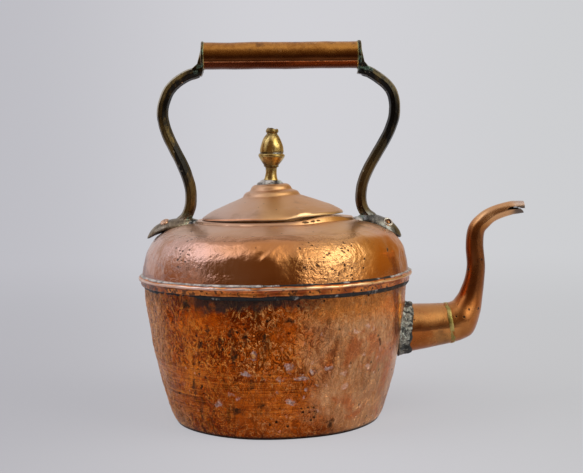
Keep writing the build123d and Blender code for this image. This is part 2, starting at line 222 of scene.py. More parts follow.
# What the metal shows is a room of soft fields: each has a colour, a direction, and the angles at which
# it starts and ends. They are, in turn, the warm right wall, the dark camera side, a brown door on the
# left, the left window, the right window and its bright middle.
ROOM = (0.62, 0.60, 0.60)
AMBIENT = (0.58, 0.58, 0.60)
ROOM_FIELDS = [
    ((0.42, 0.30, 0.12), 112, 10, 22, 52),
    ((0.14, 0.085, 0.042), -18, 8, 30, 60),
    ((0.34, 0.19, 0.09), -98, 0, 12, 30),
    ((1.30, 1.38, 1.58), -80, 46, 8, 30),
    ((1.35, 1.30, 1.05), 58, 38, 14, 38),
    ((2.85, 3.05, 2.95), 54, 34, 6, 23),
]

world = bpy.data.worlds.new("studio")
bpy.context.scene.world = world
air = Finish(world, "Generated")
room = ROOM
for colour, azimuth, elevation, near, far in ROOM_FIELDS:
    room = air.blend(toward(air, azimuth, elevation, near, far), room, colour)
seen = air.surface("ShaderNodeBackground", Color=paper_colour(air, air.axes()[0]), Strength=1.0)
mirrored = air.surface("ShaderNodeBackground", Color=room, Strength=1.0)
ambient = air.surface("ShaderNodeBackground", Color=AMBIENT, Strength=1.0)
around = air.add("ShaderNodeMixShader", {}, {0: is_ray(air, "Is Glossy Ray"), 1: ambient, 2: mirrored})
air.done(air.add("ShaderNodeMixShader", {}, {0: is_ray(air, "Is Camera Ray"), 1: around, 2: seen}),
         "ShaderNodeOutputWorld")

# The paper's near part is lit and takes the kettle's shadow. Further off it glows to the camera by
# itself, and the metal sees the part in front of the kettle as a dark room's floor.
FLOOR_REACH = 6.0
FLOOR_GLOW = 0.74
ROOM_FLOOR = (0.10, 0.06, 0.035)
bm = bmesh.new()
bmesh.ops.create_grid(bm, x_segments=2, y_segments=2, size=FLOOR_REACH)
floor_mesh = bpy.data.meshes.new("paper")
bm.to_mesh(floor_mesh)
bm.free()
floor = bpy.data.objects.new("paper", floor_mesh)
bpy.context.scene.collection.objects.link(floor)
sheet = Finish(bpy.data.materials.new("seamless_paper"))
floor_x, floor_y, _ = sheet.axes()
reach = (floor_x * floor_x + floor_y * floor_y) ** 0.5
paper = paper_colour(sheet, floor_x / (reach + 0.8))
near_paper = sheet.blend(reach.rise(1.4, 0.15), paper, sheet.blend(1.0, paper, FLOOR_SHADE, "MULTIPLY"))
lit = sheet.surface("ShaderNodeBsdfDiffuse", Color=near_paper, Roughness=0.5)
glow = sheet.surface("ShaderNodeEmission", Color=near_paper, Strength=1.0)
gloom = sheet.surface("ShaderNodeEmission", Color=ROOM_FLOOR, Strength=1.0)
plain = sheet.add("ShaderNodeMixShader", {}, {
    0: floor_y.rise(-0.24, -0.62) * is_ray(sheet, "Is Glossy Ray"), 1: lit, 2: gloom,
})
far_off = (FLOOR_GLOW + reach.rise(0.15, 1.0) * (1 - FLOOR_GLOW)) * is_ray(sheet, "Is Camera Ray")
sheet.done(sheet.add("ShaderNodeMixShader", {}, {0: far_off, 1: plain, 2: glow}))
floor_mesh.materials.append(sheet.owner)


LAMP_SIZE = 1.0
LAMP_POWER = 8.5
LAMP_DISTANCE = 1.3
LAMP_AIM = Vector((0, 0, 0.12))


def soft_light(name, azimuth, elevation, colour):
    """Square lamp aimed at the kettle. The world's bright fields are what the metal shows of it."""
    lamp = bpy.data.lights.new(name, "AREA")
    lamp.shape = "SQUARE"
    lamp.size = LAMP_SIZE
    lamp.energy = LAMP_POWER
    lamp.color = colour
    holder = bpy.data.objects.new(name, lamp)
    back = direction(azimuth, elevation)
    aim = (-back).to_track_quat("-Z", "Y").to_matrix().to_4x4()
    holder.matrix_world = Matrix.Translation(back * LAMP_DISTANCE + LAMP_AIM) @ aim
    holder.visible_glossy = False
    bpy.context.scene.collection.objects.link(holder)


soft_light("left_soft_light", -80, 45, (1.0, 0.98, 0.98))
soft_light("right_soft_light", 60, 40, (1.0, 0.95, 0.88))


# Body of the kettle: one copper sheet, wrapped round, brazed and hammered into a tub that widens
# upwards. It has long been on the fire: orange copper with etched wrinkles, dark streaks and pits.
MM = 0.001
WALL = [
    (75.4, 0.0), (77.9, 4.6), (80.2, 12), (82.6, 20), (86.7, 35), (90.1, 50), (92.8, 65.3), (94.8, 80.3),
    (95.9, 93), (96.1, 97),
]
WALL_RIM = [(96.4, 104.2), (98.9, 104.2), (98.9, 105.3), (95.2, 105.3)]
WALL_FOOT_INSIDE = (74.4, 0.4)
WALL_SHEET = 1.2
BODY_SIDES = 592
SPOUT_BORE_AT = Vector((0.090, 0, 0.0623))
SPOUT_BORE = 15.5 * MM


def eased(rows, step):
    """Rows of numbers, filled in along a smooth curve through them at about that step."""
    rows = [Vector(row) for row in rows]
    before, after = 2 * rows[0] - rows[1], 2 * rows[-1] - rows[-2]
    line = [before, *rows, after]
    filled = []
    for a, b, c, d in zip(line, line[1:], line[2:], line[3:]):
        count = max(1, round((c - b).length / step))
        for i in range(count):
            t = i / count
            bend = 2 * b + (c - a) * t + (2 * a - 5 * b + 4 * c - d) * t * t
            filled.append(0.5 * (bend + (3 * b - a - 3 * c + d) * t ** 3))
    return filled + [rows[-1]]


DOUBLINGS = 4
MERGE_REACH = 2e-6


def turned(outline, sides, closed=True):
    """Outline of radius and height in mm, spun a sixteenth round Z and then doubled four times."""
    bm = bmesh.new()
    points = [bm.verts.new((row[0] * MM, 0, row[1] * MM)) for row in outline]
    ends = points[1:] + points[:1] if closed else points[1:]
    edges = [bm.edges.new(pair) for pair in zip(points, ends)]
    shares = 2 ** DOUBLINGS
    angle = math.tau / shares
    bmesh.ops.spin(
        bm, geom=points + edges, cent=(0, 0, 0), axis=(0, 0, 1), angle=angle, steps=sides // shares,
    )
    for _ in range(DOUBLINGS):
        twin = bmesh.ops.duplicate(bm, geom=bm.verts[:] + bm.edges[:] + bm.faces[:])["geom"]
        corners = [part for part in twin if isinstance(part, bmesh.types.BMVert)]
        bmesh.ops.rotate(bm, cent=(0, 0, 0), matrix=Matrix.Rotation(angle, 3, "Z"), verts=corners)
        angle *= 2
    bmesh.ops.remove_doubles(bm, verts=bm.verts, dist=MERGE_REACH)
    bmesh.ops.recalc_face_normals(bm, faces=bm.faces)
    return bm


def outward(point):
    return Vector((point.x, point.y, 0)).normalized()


def pushed(bm, move):
    """Moves every vertex by what the function gives for its place."""
    for vertex in bm.verts:
        vertex.co += move(vertex.co)


def wavy(point, size, depth, seed=0.0):
    """Smooth random height: size is about the distance between rises, both in mm."""
    return noise.noise(point / (size * MM) + Vector((seed, 2.3 * seed, 0.7 * seed))) * depth * MM


def wrinkled(point, size, depth, seed=0.0):
    """Narrow furrows between smooth rises."""
    return (0.35 - abs(noise.noise(point / (size * MM) + Vector((seed, 0, seed))))) * depth * MM


def held(value, low, high):
    """Share of the way from low to high, between 0 and 1."""
    return max(0.0, min(1.0, (value - low) / (high - low)))


def pierced(bm, inside):
    """Hole through a sheet: drops the faces inside it and joins the two skins round its edge."""
    faces = [face for face in bm.faces if inside(face.calc_center_median())]
    bmesh.ops.delete(bm, geom=faces, context="FACES")
    bmesh.ops.bridge_loops(bm, edges=[edge for edge in bm.edges if edge.is_boundary])


def piece(bm, name, body, materials, node, sharp=40.0, inner=None):
    """Finished piece that rides on its body and stands for its CAD node. The second material goes on the
    faces that the inner test picks out."""
    mesh = bpy.data.meshes.new(name)
    for face in bm.faces:
        face.smooth = True
        if inner and inner(face.calc_center_median(), face.normal):
            face.material_index = 1
    bm.to_mesh(mesh)
    bm.free()
    mesh.set_sharp_from_angle(angle=math.radians(sharp))
    for material in materials:
        mesh.materials.append(material)
    thing = bpy.data.objects.new(name, mesh)
    bpy.context.scene.collection.objects.link(thing)
    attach(thing, body)
    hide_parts(node)


def painted(material, *nodes):
    """Gives CAD nodes their finish."""
    for node in nodes:
        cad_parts[node].data.materials.clear()
        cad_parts[node].data.materials.append(material)


def wall_dents(point):
    height = point.z / MM
    fade = held(height, 0, 12)
    depth = wavy(point, 45, 0.8) + wavy(point, 17, 0.5, 3.1) * fade
    smooth_side = held(point.x / MM, 12, 45) * held(point.y / MM, 0, -20)
    etched = held(noise.noise(point / (28 * MM) + Vector((5.0, 1.0, 2.0))), -0.45, 0.25)
    etched *= 1 - 0.75 * smooth_side
    depth += wrinkled(point, 6.5, 1.0, 1.7) * etched * fade
    depth += wrinkled(point, 3.6, 0.7, 4.2) * etched * fade
    depth += wavy(point, 2.6, 0.20, 8.0) * fade
    return outward(point) * depth


outer = eased(WALL, 0.95)
inner_line = [(row[0] - WALL_SHEET, row[1]) for row in eased(WALL[1:], 6.0)][::-1]
wall = turned([*outer, *WALL_RIM, *inner_line, WALL_FOOT_INSIDE], BODY_SIDES)
pushed(wall, wall_dents)
pierced(wall, lambda at: at.x > 0 and (at - SPOUT_BORE_AT).yz.length < SPOUT_BORE)

PALE_SPOTS = [
    (-15, 61, 1.7, 3.2), (-21, 48, 3.4, 1.3), (1, 44, 2.3, 1.7), (-40, 25, 2.3, 2.0), (9, 27, 4.0, 2.1),
    (-32, 33, 2.0, 1.3), (-27, 30, 1.7, 1.7), (8, 53, 3.0, 2.3), (16, 44, 5.0, 1.3), (34, 50, 3.0, 1.7),
    (24, 48, 2.6, 1.7), (31, 74, 1.0, 1.0), (6, 17, 1.3, 1.0),
]
PINK_SPOTS = [
    (45, 45, 1.7, 2.0), (49, 50, 1.0, 1.3), (45, 35, 2.3, 1.7), (62, 47, 2.0, 1.3), (69, 52, 0.8, 2.0),
    (71, 57, 1.0, 1.7), (59, 57, 1.0, 1.3), (62, 76, 1.3, 2.0), (54, 73, 1.7, 1.3), (66, 73, 0.7, 1.0),
    (25, 20, 1.0, 1.3), (17, 47, 1.0, 1.0), (24, 55, 1.0, 1.0),
]
DARK_SPOTS = [
    (9, 84, 4.2, 1.8), (35, 82, 1.2, 3.0), (-11, 26, 2.2, 2.0), (35, 10, 2.3, 2.6), (-27, 21, 4.5, 2.6),
    (-30, 76, 2.3, 2.6), (-21, 73, 1.7, 2.6), (-46, 78, 1.3, 3.6), (-52, 67, 1.2, 3.2), (-29, 60, 1.8, 7.0),
    (-61, 92, 2.2, 5.0), (-8, 70, 1.3, 5.8), (-57, 36, 1.2, 6.0), (-53, 17, 1.2, 5.5), (-17, 41, 1.7, 3.5),
    (24, 21, 0.7, 4.8), (-38, 68, 1.0, 6.0),
]


def spots(finish, at, places):
    """1 in small areas on the kettle's front, each given by x, z, half width and half height in mm."""
    x, y, z = finish.axes(at)
    whole = 0.0
    for middle, height, wide, tall in places:
        off_x = (x - middle * MM) / (wide * MM)
        off_z = (z - height * MM) / (tall * MM)
        whole = (off_x * off_x + off_z * off_z).rise(1.7, 0.45).most(whole)
    return whole * y.rise(-0.02, -0.04)


def wall_copper(name):
    """Fire-orange copper: tan and brushed on the right, etched in furrows and crests, sooty at the top,
    with crusts. Painted light on it: shade in the furrows, highlights on the crests (partly rubbed
    metal), thin glint lines, sheen on the left and right edges, the pale floor's reflection low down,
    the spout's dark reflection on its right and shade along the bottom edge."""
    skin = Finish(bpy.data.materials.new(name))
    x, y, z = skin.axes()
    front = y.rise(0.0, -0.03)
    around = x / (x * x + y * y) ** 0.5
    patch = skin.noise(24, 5.0, 0.62, 0.4)
    fine = skin.noise(190, 5.0, 0.68)
    mottle = patch * 0.58 + fine * 0.42
    colour = skin.blend(mottle.rise(0.40, 0.50), (0.30, 0.042, 0.002), (0.60, 0.115, 0.008))
    colour = skin.blend(mottle.rise(0.50, 0.62), colour, (0.95, 0.270, 0.034))
    # Painted reflection: the lower wall is painted brighter orange, as the pale floor shows in it.
    low = (z + (patch - 0.5) * 0.03).rise(0.046, 0.026) * z.rise(0.003, 0.012)
    colour = skin.blend(low * 0.5, colour, (0.66, 0.150, 0.016))

    smooth_side = (x + (patch - 0.5) * 0.08).rise(0.014, 0.042) * front
    brushed = skin.noise(1.0, 3.0, 0.6, 0.0, skin.scaled(420, 420, 26))
    tan = skin.blend((brushed * 0.5 + patch * 0.5).rise(0.40, 0.60), (0.70, 0.30, 0.11), (0.94, 0.53, 0.26))
    ruddy = skin.noise(38, 3.0, 0.6, 0.3, skin.moved(0.7, 0.2, 0.4))
    tan = skin.blend(ruddy.rise(0.50, 0.62) * 0.75, tan, (0.68, 0.170, 0.045))
    colour = skin.blend(smooth_side * z.rise(0.096, 0.078) * 0.85, colour, tan)
    colour = skin.blend(smooth_side * z.rise(0.076, 0.088) * 0.7, colour, (0.90, 0.33, 0.070))
    # Painted sheen: the lower right edge is painted pale, as grazing light shows it.
    right_sheen = around.rise(0.88, 0.955) * z.rise(0.064, 0.052) * front
    colour = skin.blend(right_sheen * 0.8, colour, (0.95, 0.60, 0.42))

    lines = skin.noise(1.0, 2.0, 0.5, 0.0, skin.scaled(14, 14, 1050))
    planished = z.rise(0.056, 0.042) * z.rise(0.010, 0.024) * x.rise(0.030, 0.005) * front
    planished = planished * (0.35 + 0.65 * patch.rise(0.42, 0.55))
    left_edge = (around + (patch - 0.5) * 0.25).rise(-0.70, -0.94) * y.rise(0.012, -0.012)
    etch = skin.noise(185, 3.0, 0.66, 1.7, skin.scaled(1.0, 1.0, 0.62))
    etch_zone = skin.noise(30, 3.0, 0.6, 0.0, skin.moved(0.3, 0.1, 0.2)).rise(0.28, 0.44)
    etch_zone = etch_zone.most(left_edge * z.rise(0.045, 0.062)) * (1.0 - 0.55 * planished)
    low_right = z.rise(0.042, 0.026) * x.rise(-0.05, -0.035)
    etch_zone = etch_zone * (1.0 - 0.7 * smooth_side) * (1.0 - 0.5 * low_right)
    furrow = (etch - 0.455).size().rise(0.046, 0.012)
    crest = (etch - 0.560).size().rise(0.040, 0.008)
    # Painted shade in the furrows; crests painted bright, partly rubbed metal, partly painted highlight.
    colour = skin.blend(furrow * etch_zone * 0.78, colour, (0.050, 0.010, 0.002))
    colour = skin.blend(crest * etch_zone * 0.85, colour, (1.0, 0.50, 0.17))
    # Painted glints: thin bright wavy lines in patches.
    glint_wisps = (skin.noise(52, 3.0, 0.55, 2.2) - 0.5).size().rise(0.010, 0.002)
    glint_wisps = glint_wisps * skin.noise(40, 2.0, 0.5, 0.0, skin.moved(0.2, 0.8, 0.1)).rise(0.48, 0.58)
    colour = skin.blend(glint_wisps * 0.7, colour, (1.0, 0.55, 0.24))

    streaks = skin.noise(1.0, 4.0, 0.6, 0.6, skin.scaled(105, 105, 17))
    left_side = x.rise(0.02, -0.015)
    colour = skin.blend(streaks.rise(0.56, 0.68) * (0.30 + 0.45 * left_side), colour, (0.12, 0.034, 0.006))
    redder = skin.blend(1.0, colour, (1.0, 0.84, 0.42), "MULTIPLY")
    colour = skin.blend(x.rise(-0.010, -0.045), colour, redder)
    # Painted sheen along the left edge: it is painted bright copper, broken by the furrows.
    rubbed = left_edge * (0.35 + 0.65 * fine.rise(0.4, 0.55)) * 0.9
    colour = skin.blend(rubbed * (1.0 - furrow * 0.7), colour, (1.0, 0.46, 0.14))
    colour = skin.blend(lines.rise(0.50, 0.62) * planished * 0.75, colour, (1.0, 0.32, 0.040))
    colour = skin.blend(lines.rise(0.48, 0.36) * planished * 0.65, colour, (0.18, 0.036, 0.005))

    torn = skin.ragged(210, 0.0095)
    broken = fine.rise(0.40, 0.56)
    colour = skin.blend(spots(skin, torn, DARK_SPOTS) * (0.35 + 0.6 * broken), colour, (0.060, 0.026, 0.012))
    speck = skin.cells(150, torn).rise(0.24, 0.12) * skin.noise(26, 2.0).rise(0.52, 0.60)
    pale = spots(skin, torn, PALE_SPOTS).most(speck * z.rise(0.08, 0.05) * front * 0.7)
    crust = skin.blend(skin.noise(420, 4.0, 0.7).rise(0.42, 0.60), (0.34, 0.19, 0.16), (0.80, 0.62, 0.58))
    colour = skin.blend(pale * (0.10 + 0.75 * broken), colour, crust)
    colour = skin.blend(spots(skin, torn, PINK_SPOTS) * (0.3 + 0.6 * broken), colour, (1.0, 0.60, 0.43))
    soot = (z + (skin.noise(75, 4.0, 0.65) - 0.5) * 0.022).rise(0.0885, 0.0945)
    soot = soot * (0.30 + 0.70 * x.rise(0.045, -0.005) * x.rise(-0.068, -0.048))
    colour = skin.blend(soot * 0.92, colour, (0.030, 0.018, 0.014))
    pits = skin.cells(210).rise(0.26, 0.12) * skin.noise(45, 2.0).rise(0.52, 0.62)
    colour = skin.blend(pits, colour, (0.035, 0.015, 0.008))

    # Painted reflection of the spout: a dark band with an orange glint on the wall's right.
    spout_side = around + z * 1.67 - 1.003
    spout_reflection = spout_side.rise(0.0, 0.012) * spout_side.rise(0.085, 0.060) * z.rise(0.0605, 0.066) * front
    colour = skin.blend(spout_reflection * 0.76, colour, (0.22, 0.045, 0.007))
    spout_glint = (spout_side - 0.064).size().rise(0.018, 0.004) * z.rise(0.065, 0.074) * z.rise(0.098, 0.092)
    colour = skin.blend(spout_glint * front * (0.4 + 0.6 * fine.rise(0.42, 0.52)), colour, (1.0, 0.50, 0.07))
    # Painted shade: a thin dark line along the bottom edge, where the wall stands on the base.
    colour = skin.blend(z.rise(0.0028, 0.0008), colour, (0.05, 0.025, 0.018))

    height = furrow * -0.55 + crest * 0.55 + fine * 0.5
    height = height * (0.1 + etch_zone) + fine * 0.2 - pits * 0.6 + lines * planished * 0.08
    return skin.metal(
        Base_Color=colour, Metallic=1.0 - pale * 0.45 - soot * 0.35,
        Roughness=0.20 + etch_zone * 0.04 + streaks.rise(0.55, 0.7) * 0.12 + pale * 0.15 + soot * 0.2,
        Normal=skin.relief(height, 0.0016),
    )


def tinned(name):
    """The inside is tinned: dull grey metal with limescale and brown tea-coloured stains."""
    skin = Finish(bpy.data.materials.new(name))
    scale = skin.noise(60, 5.0, 0.6)
    colour = skin.blend(scale.rise(0.4, 0.65), (0.26, 0.25, 0.24), (0.42, 0.38, 0.33))
    colour = skin.blend(skin.noise(22, 3.0).rise(0.5, 0.7) * 0.7, colour, (0.16, 0.11, 0.07))
    return skin.metal(
        Base_Color=colour, Metallic=0.7, Roughness=0.45 + scale * 0.2,
        Normal=skin.relief(scale, 0.0005),
    )


WALL_COPPER = wall_copper("wall_copper")
TIN = tinned("tinned_inside")


def faces_axis(middle, normal):
    return normal.x * middle.x + normal.y * middle.y < 0


piece(wall, "kettle_wall", "kettle", [WALL_COPPER, TIN], "body_wall", inner=faces_axis)


# Base: a copper disc with a turned-up rim, let into the wall's foot and brazed there. It is as worn
# and sooty as the wall.
painted(WALL_COPPER, "base_plate", "base_braze")


# Shoulder: a second copper sheet, raised over a stake and hammered smooth, with a low step round the
# mouth and a turned-down lip for the lid. It has a slanting dent in front and is pitted on both sides.
SHOULDER = [
    (97.9, 106.6), (97.5, 110), (96.7, 114), (95.8, 117.8), (95, 121.3), (93.8, 124.9), (91.6, 128.8),
    (89.3, 132), (86.2, 135.3), (81, 138.2), (74, 141.1), (65, 143.6), (58.9, 144.6),
]
MOUTH = [(58.1, 145.4), (57.3, 146.1), (54, 146.3), (49.2, 146.3), (48.3, 145.6), (48.2, 139.4)]
SHOULDER_INSIDE = [
    (49.4, 139.4), (49.4, 145.0), (57.0, 145.0), (58.9, 143.6), (64.5, 142.3), (80.0, 137.0), (88.2, 131.5),
    (92.7, 124.5), (95.6, 113.5), (96.6, 106.7), (96.6, 105.5), (98.9, 105.5), (98.9, 106.6),
]
DENT_FOOT, DENT_TOP = Vector((-10, 123)), Vector((1.5, 134))


def slanting_dent(point):
    """Groove with a raised edge to its right, on the front."""
    if point.y > 0:
        return 0.0
    way = (DENT_TOP - DENT_FOOT).normalized()
    off = Vector((point.x, point.z)) / MM - DENT_FOOT
    along, across = off.dot(way), off.x * way.y - off.y * way.x
    length = (DENT_TOP - DENT_FOOT).length
    fade = held(along, -3, 2) * held(along, length + 3, length - 2)
    groove = 0.35 * math.exp(-((across + 2.2) / 1.8) ** 2)
    return (0.25 * math.exp(-((across - 0.8) / 1.1) ** 2) - groove) * fade * MM


def mouth_lift(point):
    """The flat ring round the mouth is bent up at the front right, under the lid's buckled edge."""
    angle = math.degrees(math.atan2(point.y, point.x))
    lift = 2.6 * math.exp(-((angle + 48) / 21) ** 2) + 1.0 * math.exp(-((angle + 5) / 45) ** 2)
    radius = point.xy.length / MM
    inside = 0.55 * held(radius, 58.9, 57.9) + 0.45 * held(radius, 69, 58.9) ** 2
    return Vector((0, 0, lift * inside * MM))


def shoulder_dents(point):
    height = point.z / MM
    fade = held(height, 106, 114) * held(height, 147, 141)
    depth = wavy(point, 38, 1.2, 6.0) + wavy(point, 15, 0.55, 2.0) + slanting_dent(point)
    depth += wrinkled(point, 7.5, 0.22, 4.0) + wavy(point, 6.0, 0.12, 9.0)
    return outward(point) * depth * fade + Vector((0, 0, depth * fade * 0.6)) + mouth_lift(point)


shell = turned([*eased(SHOULDER, 0.95), *eased(MOUTH, 1.0), *SHOULDER_INSIDE], BODY_SIDES)
pushed(shell, shoulder_dents)
HOLE_SPOTS = [
    (60, 122, 0.6, 0.6), (59, 116, 0.6, 0.6), (78, 126, 0.5, 1.2), (51, 117, 0.6, 0.6), (19, 119, 1.2, 0.8),
    (46, 119, 0.8, 0.8), (21.5, 146.2, 2.0, 0.6), (26.5, 146.6, 1.2, 0.6), (30.5, 146.9, 1.0, 0.5),
]


def shoulder_copper(name):
    """Copper that is pink on the left, brown in front and golden on the right, partly its own tone and
    partly a painted tint of the cool left and warm right lights; tan round the mouth, with a pitted zone
    on each side and a painted dark reflection on its lower band."""
    skin = Finish(bpy.data.materials.new(name))
    x, y, z = skin.axes()
    patch = skin.noise(28, 4.0, 0.6, 0.3)
    # Side tints: partly the copper's own tone, partly a painted tint of the cool left and warm right light.
    side = x + (patch - 0.5) * 0.05
    colour = skin.blend(side.rise(-0.075, 0.0), (0.77, 0.48, 0.40), (0.72, 0.29, 0.10))
    colour = skin.blend(side.rise(0.0, 0.045), colour, (0.90, 0.46, 0.185))
    colour = skin.blend(side.rise(0.045, 0.080), colour, (0.76, 0.245, 0.025))
    stain = skin.noise(50, 5.0, 0.62, 0.6, skin.moved(1.3, 0.4, 0.9))
    colour = skin.blend(stain.rise(0.54, 0.70) * 0.55, colour, (0.50, 0.20, 0.060))
    # Painted dark reflection: the lower band is painted darker brown, as the dark room shows in it.
    low = z.rise(0.125, 0.108) * (0.35 + 0.65 * patch.rise(0.35, 0.6))
    colour = skin.blend(low * 0.6, colour, (0.46, 0.135, 0.028))
    top_tan = skin.blend(x.rise(0.0, 0.05), (0.77, 0.48, 0.30), (0.75, 0.39, 0.13))
    colour = skin.blend(z.rise(0.134, 0.142) * 0.68, colour, top_tan)
    fine = skin.noise(330, 4.0, 0.6)
    left_zone = x.rise(-0.036, -0.056) * x.rise(-0.088, -0.066) * z.rise(0.112, 0.120) * 0.6
    right_zone = x.rise(0.008, 0.020) * x.rise(0.066, 0.052) * z.rise(0.139, 0.131)
    zone = left_zone.most(right_zone) * y.rise(0.0, -0.02)
    torn = skin.ragged(600, 0.0022)
    slanted = skin.vector("MULTIPLY", torn, (0.6, 0.6, 1.0))
    crowd = skin.noise(110, 3.0, 0.6, 0.5) + zone * 0.10
    pits = skin.cells(480, slanted).rise(0.34, 0.20) * crowd.rise(0.59, 0.66) * zone.rise(0.3, 0.6)
    stray = skin.cells(130, torn).rise(0.075, 0.05) * skin.noise(30, 2.0).rise(0.54, 0.62)
    holes = spots(skin, torn, HOLE_SPOTS).most(pits).most(stray)
    colour = skin.blend(holes * 0.92, colour, (0.055, 0.022, 0.010))
    beaten = skin.noise(150, 3.0, 0.60, 0.4) * z.rise(0.139, 0.130) * (0.35 + 0.65 * x.rise(0.0, -0.05))
    return skin.metal(
        Base_Color=colour, Metallic=1.0, Coat_Weight=0.08, Coat_Roughness=0.3,
        Roughness=0.20 + stain.rise(0.5, 0.75) * 0.10 + z.rise(0.134, 0.143) * 0.12,
        Normal=skin.relief(fine * (0.20 + zone * 0.9) + beaten + crowd * zone * 0.8 - holes, 0.0008),
    )


SHOULDER_COPPER = shoulder_copper("shoulder_copper")


def faces_under(middle, normal):
    return faces_axis(middle, normal) and normal.z < 0.5


piece(shell, "kettle_shoulder", "kettle", [SHOULDER_COPPER, TIN], "shoulder",
      inner=faces_under)


# Seam band: a copper strip folded over the flanges of wall and shoulder and rolled into a bead, whose
# crest carries a painted highlight.
BAND = [
    (97.4, 101.0), (98.2, 100.8), (98.6, 101.4), (98.7, 103.6), (99.5, 104.3), (100.2, 105.0),
    (100.4, 105.7), (100.1, 106.5), (99.3, 107.2), (98.3, 107.4),
]
BAND_INSIDE = [(98.25, 106.6), (98.95, 106.5), (98.95, 104.1), (97.4, 104.1)]
SEAM_SIDES = 480


def band_copper(name):
    """Orange copper with a painted highlight along its crest, burnt and pitted below it."""
    skin = Finish(bpy.data.materials.new(name))
    x, y, z = skin.axes()
    patch = skin.noise(120, 4.0, 0.6)
    colour = skin.blend(patch.rise(0.38, 0.60), (0.42, 0.085, 0.012), (0.90, 0.30, 0.060))
    # Painted highlight along the crest: pale pink on the left, pale yellow on the right.
    bright = skin.blend(x.rise(-0.02, 0.02), (1.0, 0.76, 0.64), (1.0, 0.66, 0.36))
    crest = (x * x + y * y).rise(0.0998 ** 2, 0.1003 ** 2) * z.rise(0.1048, 0.1056)
    colour = skin.blend(crest * 0.9, colour, bright)
    torn = skin.ragged(400, 0.003)
    burnt = (skin.noise(240, 4.0, 0.65) + x.rise(-0.04, -0.08) * 0.085).rise(0.54, 0.60)
    pits = skin.cells(330, torn).rise(0.36, 0.20) * skin.noise(60, 2.0).rise(0.46, 0.56)
    pits = pits.most(burnt * z.rise(0.1052, 0.1045) * 0.85)
    colour = skin.blend(pits * (1.0 - crest * 0.8), colour, (0.05, 0.018, 0.008))
    return skin.metal(
        Base_Color=colour, Metallic=1.0, Coat_Weight=0.4, Coat_Roughness=0.3,
        Roughness=0.30 + patch * 0.1, Normal=skin.relief(patch * 0.5 - pits, 0.0005),
    )


def band_waves(point):
    return Vector((0, 0, wavy(point, 14, 0.6, 4.4))) + outward(point) * wavy(point, 9, 0.45)


band = turned([*eased(BAND, 0.35), *BAND_INSIDE], SEAM_SIDES)
pushed(band, band_waves)
piece(band, "seam_bead", "kettle", [band_copper("band_copper")], "seam_band", sharp=60)


# Soft solder, run along the seam above and below the band: lumpy, grey-white above, blackened below, and
# missing in places. A drop of it hangs at the spout's end of the bead.
def solder(name, black, black_right, grain=210, bloom_share=0.7):
    """Grey metal with white and green bloom. It is burnt black where a noise is under the given height,
    which may differ in the right half."""
    skin = Finish(bpy.data.materials.new(name))
    x = skin.axes()[0]
    mottle = skin.noise(grain, 5.0, 0.68, 0.4)
    colour = skin.blend(mottle.rise(0.40, 0.60), (0.22, 0.20, 0.185), (0.60, 0.555, 0.52))
    bloom = skin.noise(grain * 0.7, 3.0, 0.6, 0.0, skin.moved(0.5, 0.2, 0.8))
    colour = skin.blend(bloom.rise(0.54, 0.64) * bloom_share, colour, (0.60, 0.67, 0.58))
    burnt = skin.noise(grain * 0.55, 5.0, 0.68, 0.3, skin.moved(0.1, 0.6, 0.3))
    height = black + (black_right - black) * x.rise(-0.022, 0.002) * x.rise(0.088, 0.074)
    colour = skin.blend((burnt - height).rise(0.06, -0.05), colour, (0.016, 0.016, 0.017))
    return skin.metal(
        Base_Color=colour, Metallic=0.45, Roughness=0.36 + mottle * 0.25,
        Normal=skin.relief(mottle, 0.0009),
    )


SOLDER = solder("soft_solder", 0.44, 0.44)
UPPER_SEAM = [
    (97.2, 106.9), (98.9, 106.9), (99.4, 107.2), (99.3, 107.7), (98.7, 108.2), (97.8, 108.6), (96.9, 108.5),
]
LOWER_SEAM = [
    (95.6, 101.3), (97.7, 101.3), (98.1, 100.7), (97.9, 99.7), (97.2, 98.6), (96.5, 97.9), (95.6, 97.6),
]
DROP_AT = Vector((98.2, -12.0, 108.2)) * MM
DROP_SIZE = 4.2 * MM


def upper_lumps(point):
    lump = 1.3 * math.exp(-((point - DROP_AT).length / DROP_SIZE) ** 2)
    sunk = 0.15 + 0.35 * held(point.x / MM, -20, 10)
    return outward(point) * (wavy(point, 10, 0.9, 3.3) + wavy(point, 3.2, 0.25, 7.0) + (lump - sunk) * MM)


def lower_lumps(point):
    sunk = 0.1 + 0.8 * held(point.x / MM, -40, -62) * held(point.y / MM, 20, 0)
    return outward(point) * (wavy(point, 9, 1.1, 1.3) + wavy(point, 3.0, 0.45, 5.0) - sunk * MM)


pale_solder = solder("seam_solder", 0.30, 0.60, 190, 0.15)
burnt_solder = solder("burnt_solder", 0.66, 0.63, 300, 0.4)
for name, outline, lumps, material, node in (
    ("upper_seam_solder", UPPER_SEAM, upper_lumps, pale_solder, "seam_solder_upper"),
    ("lower_seam_solder", LOWER_SEAM, lower_lumps, burnt_solder, "seam_solder_lower"),
):
    run = turned(eased(outline, 0.7), SEAM_SIDES)
    pushed(run, lumps)
    piece(run, name, "kettle", [material], node, sharp=80)
painted(SOLDER, "rear_foot_solder", "front_foot_solder", "lid_skirt_solder", "finial_solder")


